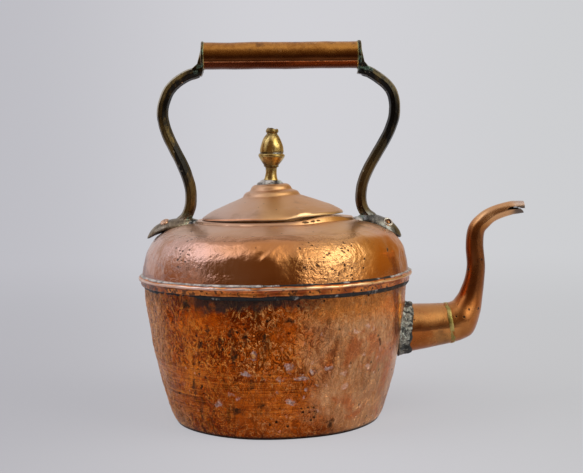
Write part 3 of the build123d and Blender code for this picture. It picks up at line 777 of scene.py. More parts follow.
# Spout: a short copper cone on the wall, soldered there with a lumpy collar, and a swan neck brazed to
# it, drawn down from 30 mm to 8 mm and cut at the end into a beak with a slit on each side.
# Each row is (x, z, radius, direction in degrees above +X).
ROOT = [(92.5, 62.3, 18.4, 5.5), (110, 63.9, 16.8, 7.2), (127.6, 65.6, 15.1, 9.0)]
NECK = [
    (129.4, 66.0, 14.85, 9), (134, 67.4, 14.6, 18), (139, 70.4, 14.0, 30), (143.3, 79.4, 10.9, 48),
    (145.2, 86.6, 8.9, 64), (147.6, 97.3, 7.35, 80), (148.9, 108.5, 6.75, 88), (148.0, 123.0, 6.55, 93),
    (149.5, 134.9, 6.3, 71), (155.2, 141.8, 6.1, 37), (162.5, 146.5, 5.5, 19), (174.5, 150.25, 5.0, 9),
    (180, 150.95, 4.7, 6), (184.6, 151.2, 4.3, 3),
]
SPOUT_SHEET = 1.1 * MM
SLIT = [(171.0, 149.2), (175.5, 152.6), (178.3, 151.6), (187.0, 152.0), (187.0, 150.2)]
FAR_SLIT = [(178.0, 150.6), (179.0, 151.7), (187.0, 152.0), (187.0, 150.2)]
LIP_END = [(181.3, 150.2), (187.0, 150.2), (187.0, 143.9)]


def drawn(places, sides, shape=None, capped=True):
    """Skin drawn through a row of rings, each given by a matrix."""
    bm = bmesh.new()
    ring = bmesh.ops.create_circle(bm, segments=sides, radius=1.0, cap_ends=False)["verts"]
    if shape:
        for vertex in ring:
            vertex.co = shape(vertex.co)
    edges = list(bm.edges)
    bmesh.ops.transform(bm, matrix=places[0], verts=ring)
    for last, place in zip(places, places[1:]):
        made = bmesh.ops.extrude_edge_only(bm, edges=edges)["geom"]
        edges = [part for part in made if isinstance(part, bmesh.types.BMEdge)]
        ring = [part for part in made if isinstance(part, bmesh.types.BMVert)]
        bmesh.ops.transform(bm, matrix=place @ last.inverted(), verts=ring)
    if capped:
        bmesh.ops.holes_fill(bm, edges=bm.edges, sides=0)
    bmesh.ops.recalc_face_normals(bm, faces=bm.faces)
    return bm


def tube_ring(x, z, radius, angle):
    """Ring of the spout, square to its direction in the XZ plane."""
    way = math.radians(angle)
    along = Vector((math.cos(way), 0, math.sin(way)))
    side = Vector((0, 1, 0))
    rise = side.cross(along)
    turn = Matrix((side, -rise, along)).transposed().to_4x4()
    grow = Matrix.Diagonal((radius * MM, radius * MM, MM, 1))
    return Matrix.Translation((x * MM, 0, z * MM)) @ turn @ grow


def tube(rows, step, sides):
    return drawn([tube_ring(*row) for row in eased(rows, step)], sides, capped=False)


def sheeted(bm, thickness):
    """Gives the skin its thickness, inwards, and marks the new faces as the inside."""
    faces = bm.faces[:]
    before = set(faces)
    bmesh.ops.solidify(bm, geom=faces, thickness=thickness)
    for face in bm.faces:
        face.material_index = 0 if face in before else 1


def spout_dents(point):
    return Vector((0, wavy(point, 15, 0.35, 1.0), wavy(point, 18, 0.35, 2.0)))


def wall_reach(point):
    """How far along X the wall's outside lies at this point's height and depth."""
    height = point.z / MM
    for (low_r, low_z), (high_r, high_z) in zip(WALL, WALL[1:]):
        if low_z <= height <= high_z:
            radius = low_r + (high_r - low_r) * (height - low_z) / (high_z - low_z)
    return math.sqrt(radius ** 2 - (point.y / MM) ** 2) * MM


def on_wall(point):
    """Slides a place along X by as much as the wall lies further out there than in the spout's middle."""
    return Vector((wall_reach(point) - ROOT[0][0] * MM, 0, 0))


def cut_through(bm, corners, side):
    """Cuts a window through the near side (-1) or the far one. Its corners are x and z in mm, clockwise."""
    corners = [Vector((x, 0, z)) * MM for x, z in corners]
    walls = []
    for start, end in zip(corners, corners[1:] + corners[:1]):
        inwards = Vector((0, 1, 0)).cross(end - start).normalized()
        walls.append((start, inwards))
        geom = bm.verts[:] + bm.edges[:] + bm.faces[:]
        bmesh.ops.bisect_plane(bm, geom=geom, dist=1e-7, plane_co=start, plane_no=inwards)
    cut = []
    for face in bm.faces:
        middle = face.calc_center_median()
        if middle.y * side > 0 and all((middle - start).dot(inwards) > 0 for start, inwards in walls):
            cut.append(face)
    bmesh.ops.delete(bm, geom=cut, context="FACES")


def old_metal(name, tones, roughness):
    """Worn copper or brass in three tones, from pale to dark, with stains."""
    skin = Finish(bpy.data.materials.new(name))
    patch = skin.noise(70, 4.0, 0.6)
    colour = skin.blend(patch.rise(0.36, 0.60), tones[1], tones[0])
    stain = skin.noise(110, 5.0, 0.62, 0.5, skin.moved(1.3, 0.4, 0.9))
    colour = skin.blend(stain.rise(0.54, 0.70) * 0.7, colour, tones[2])
    return skin.metal(
        Base_Color=colour, Metallic=0.95, Coat_Weight=0.3, Coat_Roughness=0.3,
        Roughness=roughness + stain.rise(0.5, 0.75) * 0.16,
        Normal=skin.relief(skin.noise(420, 3.0, 0.6) * 0.5, 0.0003),
    )


def spout_copper(name):
    """Brown copper with painted light: shade on the riser, a dark reflection along the cone and across the
    bend, and highlights on the cone's upper side and on top of the neck. The tip is burnt grey and black.
    """
    skin = Finish(bpy.data.materials.new(name))
    x, _, z = skin.axes()
    patch = skin.noise(48, 4.0, 0.6, 0.3)
    fine = skin.noise(260, 4.0, 0.6)
    mottle = patch * 0.85 + fine * 0.15
    colour = skin.blend(mottle.rise(0.40, 0.60), (0.48, 0.135, 0.020), (0.70, 0.285, 0.075))
    stain = skin.noise(70, 5.0, 0.62, 0.5, skin.moved(0.3, 1.4, 0.6))
    colour = skin.blend(stain.rise(0.53, 0.68) * 0.5, colour, (0.26, 0.080, 0.020))
    # Painted shade: the riser is painted dark brown.
    riser = z.rise(0.076, 0.092) * z.rise(0.146, 0.130)
    colour = skin.blend(riser * 0.85, colour, (0.21, 0.060, 0.011))
    # Painted highlight along the cone's upper side.
    colour = skin.blend(z.rise(0.062, 0.072) * x.rise(0.128, 0.120) * 0.28, colour, (0.50, 0.27, 0.11))
    # Painted highlight on top of the neck and the beak.
    colour = skin.blend(z.rise(0.137, 0.146) * 0.6, colour, (0.88, 0.52, 0.27))
    # Painted dark reflection: a dark line along the cone.
    off_line = z - x * 0.065 - 0.05605
    shade_line = off_line.rise(0.0050, 0.0) * off_line.rise(-0.0010, 0.0003) * x.rise(0.140, 0.128)
    colour = skin.blend(shade_line * 0.85, colour, (0.17, 0.045, 0.008))
    # Painted dark reflection across the bend where the neck turns up.
    elbow = x.rise(0.130, 0.138) * z.rise(0.096, 0.084)
    colour = skin.blend(elbow * 0.6, colour, (0.40, 0.120, 0.022))
    green = (x - 0.127).size().rise(0.016, 0.004) * stain.rise(0.45, 0.60) * z.rise(0.075, 0.056)
    colour = skin.blend(green * 0.2, colour, (0.34, 0.33, 0.13))
    torn = skin.ragged(420, 0.002)
    pits = skin.cells(105, torn).rise(0.115, 0.075)
    colour = skin.blend(pits, colour, (0.030, 0.014, 0.008))
    tip = (x + (fine - 0.5) * 0.006).rise(0.172, 0.180)
    upper = (z - x * 0.12).rise(0.1297, 0.1315)
    colour = skin.blend(tip * upper * 0.8, colour, (0.50, 0.40, 0.36))
    colour = skin.blend(tip * (1.0 - upper) * 0.9, colour, (0.085, 0.075, 0.070))
    return skin.metal(
        Base_Color=colour, Metallic=1.0 - tip * 0.3, Coat_Weight=0.3,
        Coat_Roughness=0.3, Roughness=0.25 + stain.rise(0.5, 0.7) * 0.14 + tip * 0.2,
        Normal=skin.relief(fine * 0.2 - pits, 0.0005),
    )


INSIDE_TONES = [(0.10, 0.075, 0.06), (0.05, 0.04, 0.035), (0.02, 0.016, 0.014)]
SPOUT_COPPER = spout_copper("spout_copper")
SPOUT_INSIDE = old_metal("spout_inside", INSIDE_TONES, 0.5)
neck = tube(NECK, step=1.1, sides=96)
pushed(neck, spout_dents)
cut_through(neck, SLIT, -1)
cut_through(neck, FAR_SLIT, 1)
for side in (-1, 1):
    cut_through(neck, LIP_END, side)
sheeted(neck, SPOUT_SHEET)
piece(neck, "spout_swan_neck", "kettle", [SPOUT_COPPER, SPOUT_INSIDE], "spout_neck")

root = tube(ROOT, step=1.2, sides=112)
pushed(root, spout_dents)
pushed(root, lambda point: on_wall(point) * held(point.x / MM, 112, 94))
sheeted(root, SPOUT_SHEET)
piece(root, "spout_cone", "kettle", [SPOUT_COPPER, SPOUT_INSIDE], "spout_root")

COLLAR = [
    (91.7, 17.0), (91.7, 20.3), (92.8, 20.3), (94.0, 19.9), (95.6, 19.6), (97.6, 19.3), (99.2, 18.9),
    (100.3, 18.1), (100.7, 17.0),
]
COLLAR_HEIGHT = 63.0 * MM


def ring_round_spout(outline, step, sides, foot, slope, angle):
    """Closed ring round the spout, whose outline is given by x and radius. The spout's middle is at the
    foot's x and z and climbs by the slope."""
    rows = [(x, foot[1] + (x - foot[0]) * slope, radius, angle) for x, radius in eased(outline, step)]
    ring = drawn([tube_ring(*row) for row in rows], sides, capped=False)
    bmesh.ops.bridge_loops(ring, edges=[edge for edge in ring.edges if edge.is_boundary])
    bmesh.ops.recalc_face_normals(ring, faces=ring.faces)
    return ring


def collar_lumps(point):
    way = (point - Vector((point.x, 0, COLLAR_HEIGHT))).normalized()
    ragged_edge = wavy(Vector((0, point.y, point.z)), 7, 2.6, 2.0) * held(point.x / MM, 95, 99)
    return way * (wavy(point, 5, 1.1, 6.0) + wavy(point, 2.2, 0.5, 3.0)) + Vector((ragged_edge, 0, 0))


def collar_solder(name):
    """Grey solder, whitish and green where it was wiped, burnt black on the side of the spout."""
    skin = Finish(bpy.data.materials.new(name))
    x, _, z = skin.axes()
    mottle = skin.noise(420, 5.0, 0.70, 0.3)
    colour = skin.blend(mottle.rise(0.40, 0.60), (0.12, 0.115, 0.098), (0.34, 0.335, 0.28))
    spout_side = (x - z * 0.15 + (skin.noise(190, 4.0, 0.65) - 0.5) * 0.012).rise(0.0860, 0.0900)
    flecks = skin.noise(560, 4.0, 0.7, 0.6, skin.moved(0.5, 0.2, 0.8)).rise(0.52, 0.58)
    colour = skin.blend(flecks * (1.0 - spout_side * 0.7) * 0.75, colour, (0.72, 0.79, 0.70))
    burnt = skin.noise(230, 5.0, 0.70, 0.5, skin.moved(0.1, 0.6, 0.3))
    black = (burnt - spout_side * 0.13 * z.rise(0.084, 0.070)).rise(0.50, 0.44)
    colour = skin.blend(black * 0.95, colour, (0.020, 0.022, 0.022))
    return skin.metal(
        Base_Color=colour, Metallic=0.4, Roughness=0.36 + mottle * 0.25,
        Normal=skin.relief(mottle, 0.0009),
    )


collar = ring_round_spout(COLLAR, step=0.6, sides=160, foot=(92.5, 62.5), slope=0.096, angle=5.5)
pushed(collar, on_wall)
pushed(collar, collar_lumps)
piece(collar, "spout_collar", "kettle", [collar_solder("collar_solder")], "spout_solder",
      sharp=80)

BRAZE_TONES = [(0.56, 0.47, 0.17), (0.44, 0.38, 0.13), (0.20, 0.15, 0.05)]
painted(old_metal("yellow_braze", BRAZE_TONES, 0.4), "rear_grip_braze", "front_grip_braze", "finial_washer")
SEAM_BEAD = [
    (126.4, 14.3), (126.5, 15.2), (127.2, 15.4), (128.2, 15.4), (129.1, 15.3), (129.7, 15.1), (129.7, 14.3),
]


def braze_waves(point):
    sideways = wavy(Vector((0, point.y, point.z)), 9, 1.0, 4.0)
    return Vector((sideways, 0, 0)) + wavy(point, 6, 0.2, 2.0) * Vector((0, 1, 1))


def seam_braze(name):
    """Brass left by the torch: greenish yellow, rubbed through to the copper in places."""
    skin = Finish(bpy.data.materials.new(name))
    patch = skin.noise(130, 4.0, 0.62, 0.2)
    colour = skin.blend(patch.rise(0.40, 0.60), (0.34, 0.27, 0.075), (0.60, 0.48, 0.17))
    rubbed = skin.noise(75, 4.0, 0.65, 0.2, skin.moved(0.4, 0.1, 0.9))
    colour = skin.blend(rubbed.rise(0.52, 0.60), colour, (0.44, 0.15, 0.03))
    return skin.metal(
        Base_Color=colour, Metallic=0.9, Roughness=0.34 + patch * 0.2,
        Normal=skin.relief(patch, 0.0004),
    )


bead = ring_round_spout(SEAM_BEAD, step=0.5, sides=128, foot=(128.3, 65.8), slope=0.158, angle=9.0)
pushed(bead, braze_waves)
piece(bead, "spout_braze_bead", "kettle", [seam_braze("seam_braze")], "spout_braze", sharp=80)


# Lid: a dished copper disc with a two-step boss, and a soldered skirt that fits in the mouth. It sits
# a little askew, its front right rim bent up.
LID = [
    (51.8, 0), (52.0, 0.4), (51.8, 1.0), (51.2, 1.6), (50.4, 2.2), (48, 3.7), (43, 6.3), (38.0, 8.2),
    (32, 10.6), (26, 12.8), (21.2, 14.7), (20.6, 15.7), (20.2, 16.4), (19.4, 17.4), (18.4, 18.0), (17, 18.5),
    (15.6, 19.0), (15.1, 19.9), (14.6, 21.0), (13.6, 22.2), (12.5, 22.9), (11.0, 23.3), (6.5, 23.4),
    (2.9, 23.3),
]
LID_INSIDE = [
    (2.9, 22.3), (10.6, 22.2), (13.0, 20.6), (14.0, 18.5), (17.8, 16.9), (19.3, 14.6), (20.2, 13.8),
    (26, 11.8), (38, 7.2), (48, 2.9), (50.4, 1.1), (51.0, 0),
]
LID_AT = Vector((-0.0012, 0, 0.1484))
LID_TILT = -2.08
LID_SEAT = Matrix.Translation(LID_AT) @ Matrix.Rotation(math.radians(LID_TILT), 4, "Y")


def lid_dents(point):
    """The edge is buckled up just inside the rim at the front right, and the rim is wavy all round."""
    radius = point.xy.length / MM
    share = (radius / 52) ** 6
    angle = math.degrees(math.atan2(point.y, point.x))
    buckled = 1.6 * math.exp(-((angle + 65) / 9) ** 2) + 0.7 * math.exp(-((angle + 45) / 12) ** 2)
    buckled *= math.exp(-((radius - 51.0) / 1.1) ** 2) * held(point.z / MM, 0.3, 1.2)
    dipped = 0.7 * math.exp(-((angle + 85) / 18) ** 2) + 0.4 * math.exp(-((angle + 150) / 24) ** 2)
    lift = wavy(point, 26, 0.5, 1.0) * share + wavy(point, 14, 0.22, 5.0)
    return Vector((0, 0, lift + (buckled - dipped * share) * MM))


def lid_copper(name):
    """Dull copper, pink on the left and golden on the right, partly its own tone and partly a painted
    tint of the cool left and warm right lights, with fine turning marks, a painted highlight along the
    rim and a painted golden reflection of the finial in front.
    """
    skin = Finish(bpy.data.materials.new(name))
    x, y, _ = skin.axes()
    patch = skin.noise(34, 4.0, 0.6, 0.3)
    # Side tints: partly the copper's own tone, partly a painted tint of the cool left and warm right light.
    side = x + (patch - 0.5) * 0.04
    colour = skin.blend(side.rise(-0.045, 0.018), (0.75, 0.51, 0.40), (0.77, 0.395, 0.160))
    stain = skin.noise(60, 5.0, 0.62, 0.4, skin.moved(0.6, 0.4, 0.2))
    colour = skin.blend(stain.rise(0.52, 0.70) * 0.45, colour, (0.50, 0.29, 0.17))
    rub = skin.noise(1.0, 3.0, 0.6, 0.0, skin.scaled(60, 60, 700))
    colour = skin.blend(rub.rise(0.55, 0.72) * 0.25, colour, (0.86, 0.60, 0.44))
    off_axis = x - LID_AT.x
    # Painted highlight along the rim, brightest on the right.
    edge = (off_axis * off_axis + y * y).rise(0.0511 ** 2, 0.0516 ** 2)
    rim_highlight = skin.blend(x.rise(0.0, 0.02), (0.82, 0.36, 0.17), (1.0, 0.72, 0.40))
    colour = skin.blend(edge * 0.8, colour, rim_highlight)
    # Painted reflection of the finial: a golden strip on the lid in front of the boss.
    golden = x.size().rise(0.015, 0.003) * y.rise(-0.016, -0.024)
    colour = skin.blend(golden * 0.6, colour, (0.95, 0.54, 0.22))
    specks = skin.cells(140).rise(0.07, 0.045)
    colour = skin.blend(specks * 0.8, colour, (0.16, 0.07, 0.035))
    return skin.metal(
        Base_Color=colour, Metallic=1.0, Coat_Weight=0.25, Coat_Roughness=0.4,
        Roughness=0.40 + stain.rise(0.5, 0.75) * 0.12,
        Normal=skin.relief(skin.noise(380, 3.0, 0.6), 0.00015),
    )


lid = turned([*eased(LID, 0.8), *LID_INSIDE], sides=448)
pushed(lid, lid_dents)
bmesh.ops.transform(lid, matrix=LID_SEAT, verts=lid.verts)


def faces_down(middle, normal):
    return normal.z < -0.3


piece(lid, "lid_cover", "lid", [lid_copper("lid_copper"), TIN], "lid_dome", inner=faces_down)
SKIRT_TONES = [(0.88, 0.48, 0.22), (0.70, 0.34, 0.13), (0.30, 0.13, 0.05)]
painted(old_metal("skirt_copper", SKIRT_TONES, 0.3), "lid_skirt")


# Finial: an acorn turned from cast brass, with a tang through the lid, and a ring of solder at its foot.
# Worn golden, dark in its hollows and pitted on the right.
FINIAL_FOOT = [(0, 0), (7.2, 0)]
FINIAL = [
    (7.2, 0.9), (6.3, 1.8), (5.4, 3.0), (4.8, 4.4), (4.4, 5.8), (4.1, 7.4), (4.0, 9.0), (4.1, 10.8),
    (4.4, 12.2), (5.2, 12.7), (5.5, 13.3), (5.3, 13.9), (6.3, 15.3), (7.6, 17.0), (8.8, 18.7), (9.5, 19.9),
    (9.75, 20.8), (9.6, 21.6), (9.0, 22.2), (8.35, 22.5), (8.3, 22.9), (8.6, 23.3), (8.6, 25), (8.3, 27.5),
    (7.6, 30), (6.6, 32.6), (5.3, 34.9), (4.2, 36.3), (3.85, 36.9), (4.2, 37.6), (4.75, 38.4), (4.7, 39.4),
    (4.3, 40.2), (3.4, 40.4), (1.2, 39.9),
]
FINIAL_TOP = (0, 39.8)
FINIAL_AT = Vector((-0.002, 0, 0.1717))
FINIAL_LEAN = 2.5
FINIAL_SEAT = Matrix.Translation(FINIAL_AT) @ Matrix.Rotation(math.radians(FINIAL_LEAN), 4, "Y")


def finial_wear(point):
    """Uneven turning, and a torn rim at the top. The two ends on the axis stay where they are."""
    if point.xy.length < 0.5 * MM:
        return Vector()
    torn = held(point.z / MM, 37, 39)
    ragged_rim = Vector((0, 0, wavy(Vector((point.x, point.y, 0)), 3.0, 1.6, 2.0))) * torn
    return outward(point) * (wavy(point, 6, 0.30) + wavy(point, 2.2, 0.07, 3.0)) + ragged_rim


def finial_brass(name):
    """Golden brass, dark in its hollows and at the top, stained, pitted on the right."""
    skin = Finish(bpy.data.materials.new(name))
    x, y, z = skin.axes()
    patch = skin.noise(210, 4.0, 0.65)
    colour = skin.blend(patch.rise(0.36, 0.60), (0.50, 0.32, 0.09), (0.76, 0.53, 0.19))
    hollow = z.rise(0.1815, 0.1845) * z.rise(0.1905, 0.1860)
    hollow = hollow.most((z - 0.1945).size().rise(0.0014, 0.0004))
    hollow = hollow.most(z.rise(0.2045, 0.2085) * 0.8)
    hollow = hollow * (0.55 + 0.45 * patch.rise(0.60, 0.42))
    colour = skin.blend(hollow * 0.9, colour, (0.085, 0.045, 0.015))
    stain = skin.noise(95, 4.0, 0.65, 0.3, skin.moved(0.4, 0.9, 0.1))
    colour = skin.blend(stain.rise(0.52, 0.66) * 0.5, colour, (0.20, 0.115, 0.035))
    torn = skin.ragged(700, 0.0014)
    pits = skin.cells(420, torn).rise(0.34, 0.20) * x.rise(-0.001, 0.003) * z.rise(0.1935, 0.1955)
    pits = pits * skin.noise(200, 2.0).rise(0.48, 0.56)
    colour = skin.blend(pits, colour, (0.03, 0.018, 0.010))
    chalky = x.rise(-0.001, 0.001) * x.rise(0.0065, 0.0045) * y.rise(0.0, -0.003)
    chalky = (z - 0.1943).size().rise(0.0010, 0.0003) * chalky
    colour = skin.blend(chalky * 0.7, colour, (0.62, 0.60, 0.52))
    return skin.metal(
        Base_Color=colour, Metallic=1.0, Coat_Weight=0.2, Coat_Roughness=0.3,
        Roughness=0.22 + stain.rise(0.48, 0.66) * 0.16 + hollow * 0.2,
        Normal=skin.relief(patch * 0.4 - pits * 1.5, 0.0005),
    )


acorn = turned([*FINIAL_FOOT, *eased(FINIAL, 0.3), FINIAL_TOP], sides=144, closed=False)
pushed(acorn, finial_wear)
bmesh.ops.transform(acorn, matrix=FINIAL_SEAT, verts=acorn.verts)
piece(acorn, "acorn_finial", "lid", [finial_brass("finial_brass")], "finial", sharp=60)


# Grip: a brown copper tube brazed between the two arms, its lengthwise seam low in front. Its top
# keeps the golden copper tone, and its lower half is painted shade, darkest and red below the seam.
GRIP_REAR, GRIP_FRONT = Vector((-48.5, 0, 265.9)), Vector((62.8, 0, 264.8))
GRIP_R, GRIP_BORE = 9.75, 8.3
GRIP_SEAM = -5.0
SEAM_STANDS = Vector((0, -0.28, -0.12)) * MM
SEAM_WIDTH = 0.55
grip_way = (GRIP_FRONT - GRIP_REAR).normalized()
grip_length = (GRIP_FRONT - GRIP_REAR).length
GRIP_SEAT = Matrix.Translation(GRIP_REAR * MM) @ grip_way.to_track_quat("Z", "Y").to_matrix().to_4x4()


def grip_dents(point):
    return outward(point) * (wavy(point, 22, 0.4, 3.0) + wavy(point, 8, 0.14, 1.0))


def grip_ridge(point):
    """The seam stands up a little along the tube's front."""
    if point.y > 0:
        return Vector()
    middle = GRIP_REAR.z + (GRIP_FRONT.z - GRIP_REAR.z) * held(point.x / MM, GRIP_REAR.x, GRIP_FRONT.x)
    off = point.z / MM - middle - GRIP_SEAM
    return SEAM_STANDS * math.exp(-(off / SEAM_WIDTH) ** 2)


def grip_copper(name):
    """Brown copper, golden on top, with painted shade on its lower half, dark red below the seam. The
    height is taken from the tube's middle.
    """
    skin = Finish(bpy.data.materials.new(name))
    x, y, z = skin.axes()
    height = z + x * 0.0099 - 0.26542
    patch = skin.noise(60, 4.0, 0.6, 0.3, skin.scaled(0.45, 1, 1))
    fine = skin.noise(300, 4.0, 0.62)
    mottle = patch * 0.6 + fine * 0.4
    colour = skin.blend(mottle.rise(0.40, 0.60), (0.44, 0.165, 0.026), (0.66, 0.285, 0.056))
    # Painted shade: the lower half of the tube is painted dark.
    lower = (height + (patch - 0.5) * 0.003).rise(0.0045, -0.0020)
    colour = skin.blend(lower, colour, (0.155, 0.042, 0.006))
    seam = (height - GRIP_SEAM * MM).size().rise(0.0007, 0.0002) * y.rise(0.0, -0.002)
    # Painted shade: below the seam the tube is painted darkest.
    below = height.rise(GRIP_SEAM * MM + 0.0003, GRIP_SEAM * MM - 0.0006)
    colour = skin.blend(below * 0.9, colour, (0.105, 0.024, 0.005))
    colour = skin.blend(seam * (0.35 + 0.4 * fine.rise(0.42, 0.56)), colour, (0.72, 0.30, 0.13))
    stain = skin.noise(120, 5.0, 0.6, 0.3, skin.moved(0.2, 0.5, 0.7))
    colour = skin.blend(stain.rise(0.56, 0.68) * 0.6, colour, (0.16, 0.06, 0.02))
    rubbed = skin.cells(95, skin.ragged(300, 0.003)).rise(0.16, 0.06) * skin.noise(45, 2.0).rise(0.52, 0.60)
    colour = skin.blend(rubbed * 0.7, colour, (0.84, 0.44, 0.15))
    return skin.metal(
        Base_Color=colour, Metallic=1.0, Coat_Weight=0.2, Coat_Roughness=0.3,
        Roughness=0.27 + stain.rise(0.5, 0.7) * 0.12, Normal=skin.relief(fine, 0.00008),
    )


skin_line = eased([(GRIP_R, 0.0), (GRIP_R, grip_length)], 1.0)
grip = turned([*skin_line, (GRIP_BORE, grip_length), (GRIP_BORE, 0.0)], sides=160)
pushed(grip, grip_dents)
bmesh.ops.transform(grip, matrix=GRIP_SEAT, verts=grip.verts)
pushed(grip, grip_ridge)
piece(grip, "grip_sleeve", "kettle", [grip_copper("grip_copper")], "grip_tube")


# Handle arms: brass castings, eight-sided and filed along their edges, each spread into a leaf-shaped
# foot below and a round plate with a spigot above. Brown-green with age; the ridges are pale, partly
# rubbed and partly a painted highlight, the outer flanks are painted lighter as the lit side, and the
# creases and the feet's lower faces carry painted shade.
REAR_LINE = [
    (53.5, 254.4), (56.0, 253.5), (61.0, 252.0), (67.6, 248.3), (72.6, 244.0), (76.2, 239.0), (79.2, 231),
    (80.1, 224), (79.3, 217.5), (77.3, 210.4), (73.5, 201.5), (69.2, 192.7), (65.4, 184), (62.4, 175),
    (61.0, 167), (61.1, 159.4), (62.6, 153.5), (65.2, 148.5), (69.0, 145.0),
]
FRONT_LINE = [
    (67.5, 253.6), (69.0, 253.0), (72.5, 251.7), (78.6, 247.6), (84.1, 243.1), (87.9, 237.6), (89.8, 230.5),
    (89.9, 224), (88.9, 217.5), (86.0, 209.5), (81.6, 201.2), (76.4, 192.6), (71.3, 184), (67.2, 175.5),
    (64.9, 168), (64.1, 160), (65.2, 153.5), (68.0, 148.6), (72.5, 145.0),
]
REAR_FOOT = [
    (55.5, 2.0, 144.4, 146.0), (57.5, 4.0, 143.9, 147.0), (64.0, 7.5, 143.0, 148.3),
    (72.0, 10.0, 141.6, 148.0), (80.0, 10.5, 140.0, 146.4), (87.0, 8.5, 137.6, 143.2),
    (91.5, 4.5, 135.0, 138.8), (93.8, 1.2, 133.6, 134.8),
]
FRONT_FOOT = [
    (60.5, 2.0, 144.0, 145.8), (62.5, 4.0, 143.5, 147.2), (67.5, 8.0, 142.4, 149.4),
    (75.0, 10.3, 139.8, 147.8), (82.0, 10.3, 137.0, 145.2), (88.0, 8.3, 133.6, 141.2),
    (92.0, 4.5, 131.8, 136.4), (93.6, 1.2, 131.3, 132.5),
]
REAR_NECK = [
    [(50.2, 272.0, 6.0), (51.0, 266.0, 7.5), (53.6, 260.2, 5.5), (49.0, 256.0, 7.5), (49.0, 268.0, 6.0)],
    [(53.8, 260.0, 4.8), (57.6, 256.9, 4.4), (57.0, 251.0, 4.2), (50.8, 251.4, 4.2), (49.3, 255.2, 6.0)],
]
FRONT_NECK = [
    [(65.4, 272.0, 6.0), (66.0, 266.0, 7.5), (68.0, 259.4, 5.5), (63.6, 256.0, 7.5), (63.6, 268.0, 6.0)],
    [(68.0, 259.6, 4.8), (71.8, 255.2, 4.4), (69.6, 249.6, 4.2), (62.8, 251.4, 4.2), (63.8, 255.0, 6.0)],
]
ARM_HALF_WIDTH = 5.5
SPIGOT_LENGTH, SPIGOT_R = 14.0, 8.1
GRIP_JOINT = 0.5
PLATE_R = 10.6
EIGHTH = math.pi / 8


def arm_ring(u, z, along, side, wide, thick):
    """Ring of an arm, square to its direction. U is the distance out from the kettle's middle."""
    across = Vector((0, 1, 0))
    outwards = across.cross(along)
    turn = Matrix((across, outwards, along)).transposed().to_4x4()
    mirror = Matrix.Diagonal((side, 1, 1, 1))
    place = Matrix.Translation((u * MM, 0, z * MM)) @ turn @ Matrix.Diagonal((wide * MM, thick * MM, MM, 1))
    return mirror @ place


def faceted(point):
    """Ring of an eight-sided bar, with an edge in the middle of each of its four sides."""
    off = (math.atan2(point.y, point.x) + EIGHTH) % (2 * EIGHTH) - EIGHTH
    return point * math.cos(EIGHTH) / math.cos(EIGHTH - abs(off))


def bar(line, side, wide, thick):
    """The arm's shaft, drawn along its line of u and z."""
    rows = eased(line, 1.0)
    places = []
    for i, row in enumerate(rows):
        before, after = rows[max(0, i - 1)], rows[min(len(rows) - 1, i + 1)]
        along = Vector((after.x - before.x, 0, after.y - before.y)).normalized()
        places.append(arm_ring(row.x, row.y, along, side, wide, thick))
    return drawn(places, 32, faceted)


def crescent(point):
    """Unit ring made into a leaf's section: a domed top, 1 high, over a slightly rounded belly."""
    dome = max(0.0, 1 - point.x ** 2) ** 0.6
    if point.y >= 0:
        return Vector((point.x, dome, 0))
    return Vector((point.x * 0.97, -0.30 * dome, 0))


def foot(rows, side):
    """The leaf: each row gives u, half its width, the height of its edge and that of its crest."""
    mirror = Matrix.Diagonal((side, 1, 1, 1))
    turn = Matrix((Vector((0, 1, 0)), Vector((0, 0, 1)), Vector((1, 0, 0)))).transposed().to_4x4()
    places = []
    for u, half, edge, crest in eased(rows, 0.9):
        grow = Matrix.Diagonal((half * MM, (crest - edge) * MM, MM, 1))
        places.append(mirror @ Matrix.Translation((u * MM, 0, edge * MM)) @ turn @ grow)
    return drawn(places, 40, crescent)


def end_plate(side, centre, thick):
    """Round plate against the grip's end, with the spigot inside the tube."""
    edge = GRIP_JOINT + thick
    outline = [
        (0, -SPIGOT_LENGTH), (SPIGOT_R, -SPIGOT_LENGTH), (SPIGOT_R, GRIP_JOINT), (PLATE_R, GRIP_JOINT),
        (PLATE_R, edge - 0.4), (PLATE_R - 0.6, edge), (0, edge),
    ]
    disc = turned(outline, sides=64, closed=False)
    seat = Matrix.Translation(centre * MM) @ (grip_way * side).to_track_quat("Z", "Y").to_matrix().to_4x4()
    bmesh.ops.transform(disc, matrix=seat, verts=disc.verts)
    return disc


def arm_neck(corners, side):
    """Wedge between the plate and the bar: the hull round its corners, each on both sides."""
    bm = bmesh.new()
    for u, z, half in corners:
        for y in (-half, half):
            bm.verts.new((side * u * MM, y * MM, z * MM))
    bmesh.ops.convex_hull(bm, input=bm.verts)
    bmesh.ops.recalc_face_normals(bm, faces=bm.faces)
    return bm


def joined(parts):
    """Several meshes gathered in one."""
    whole = bmesh.new()
    for part in parts:
        mesh = bpy.data.meshes.new("part")
        part.to_mesh(mesh)
        part.free()
        whole.from_mesh(mesh)
        bpy.data.meshes.remove(mesh)
    return whole


def fused(parts, voxel, softened):
    """Several closed skins melted into one, as a casting is."""
    whole = joined(parts)
    mesh = bpy.data.meshes.new("casting")
    whole.to_mesh(mesh)
    whole.free()
    thing = bpy.data.objects.new("casting", mesh)
    bpy.context.scene.collection.objects.link(thing)
    melt = thing.modifiers.new("melt", "REMESH")
    melt.mode = "VOXEL"
    melt.voxel_size = voxel * MM
    soften = thing.modifiers.new("soften", "SMOOTH")
    soften.iterations = softened
    soften.factor = 0.5
    made = bpy.data.meshes.new_from_object(thing.evaluated_get(bpy.context.evaluated_depsgraph_get()))
    bpy.data.objects.remove(thing)
    bm = bmesh.new()
    bm.from_mesh(made)
    bpy.data.meshes.remove(made)
    return bm


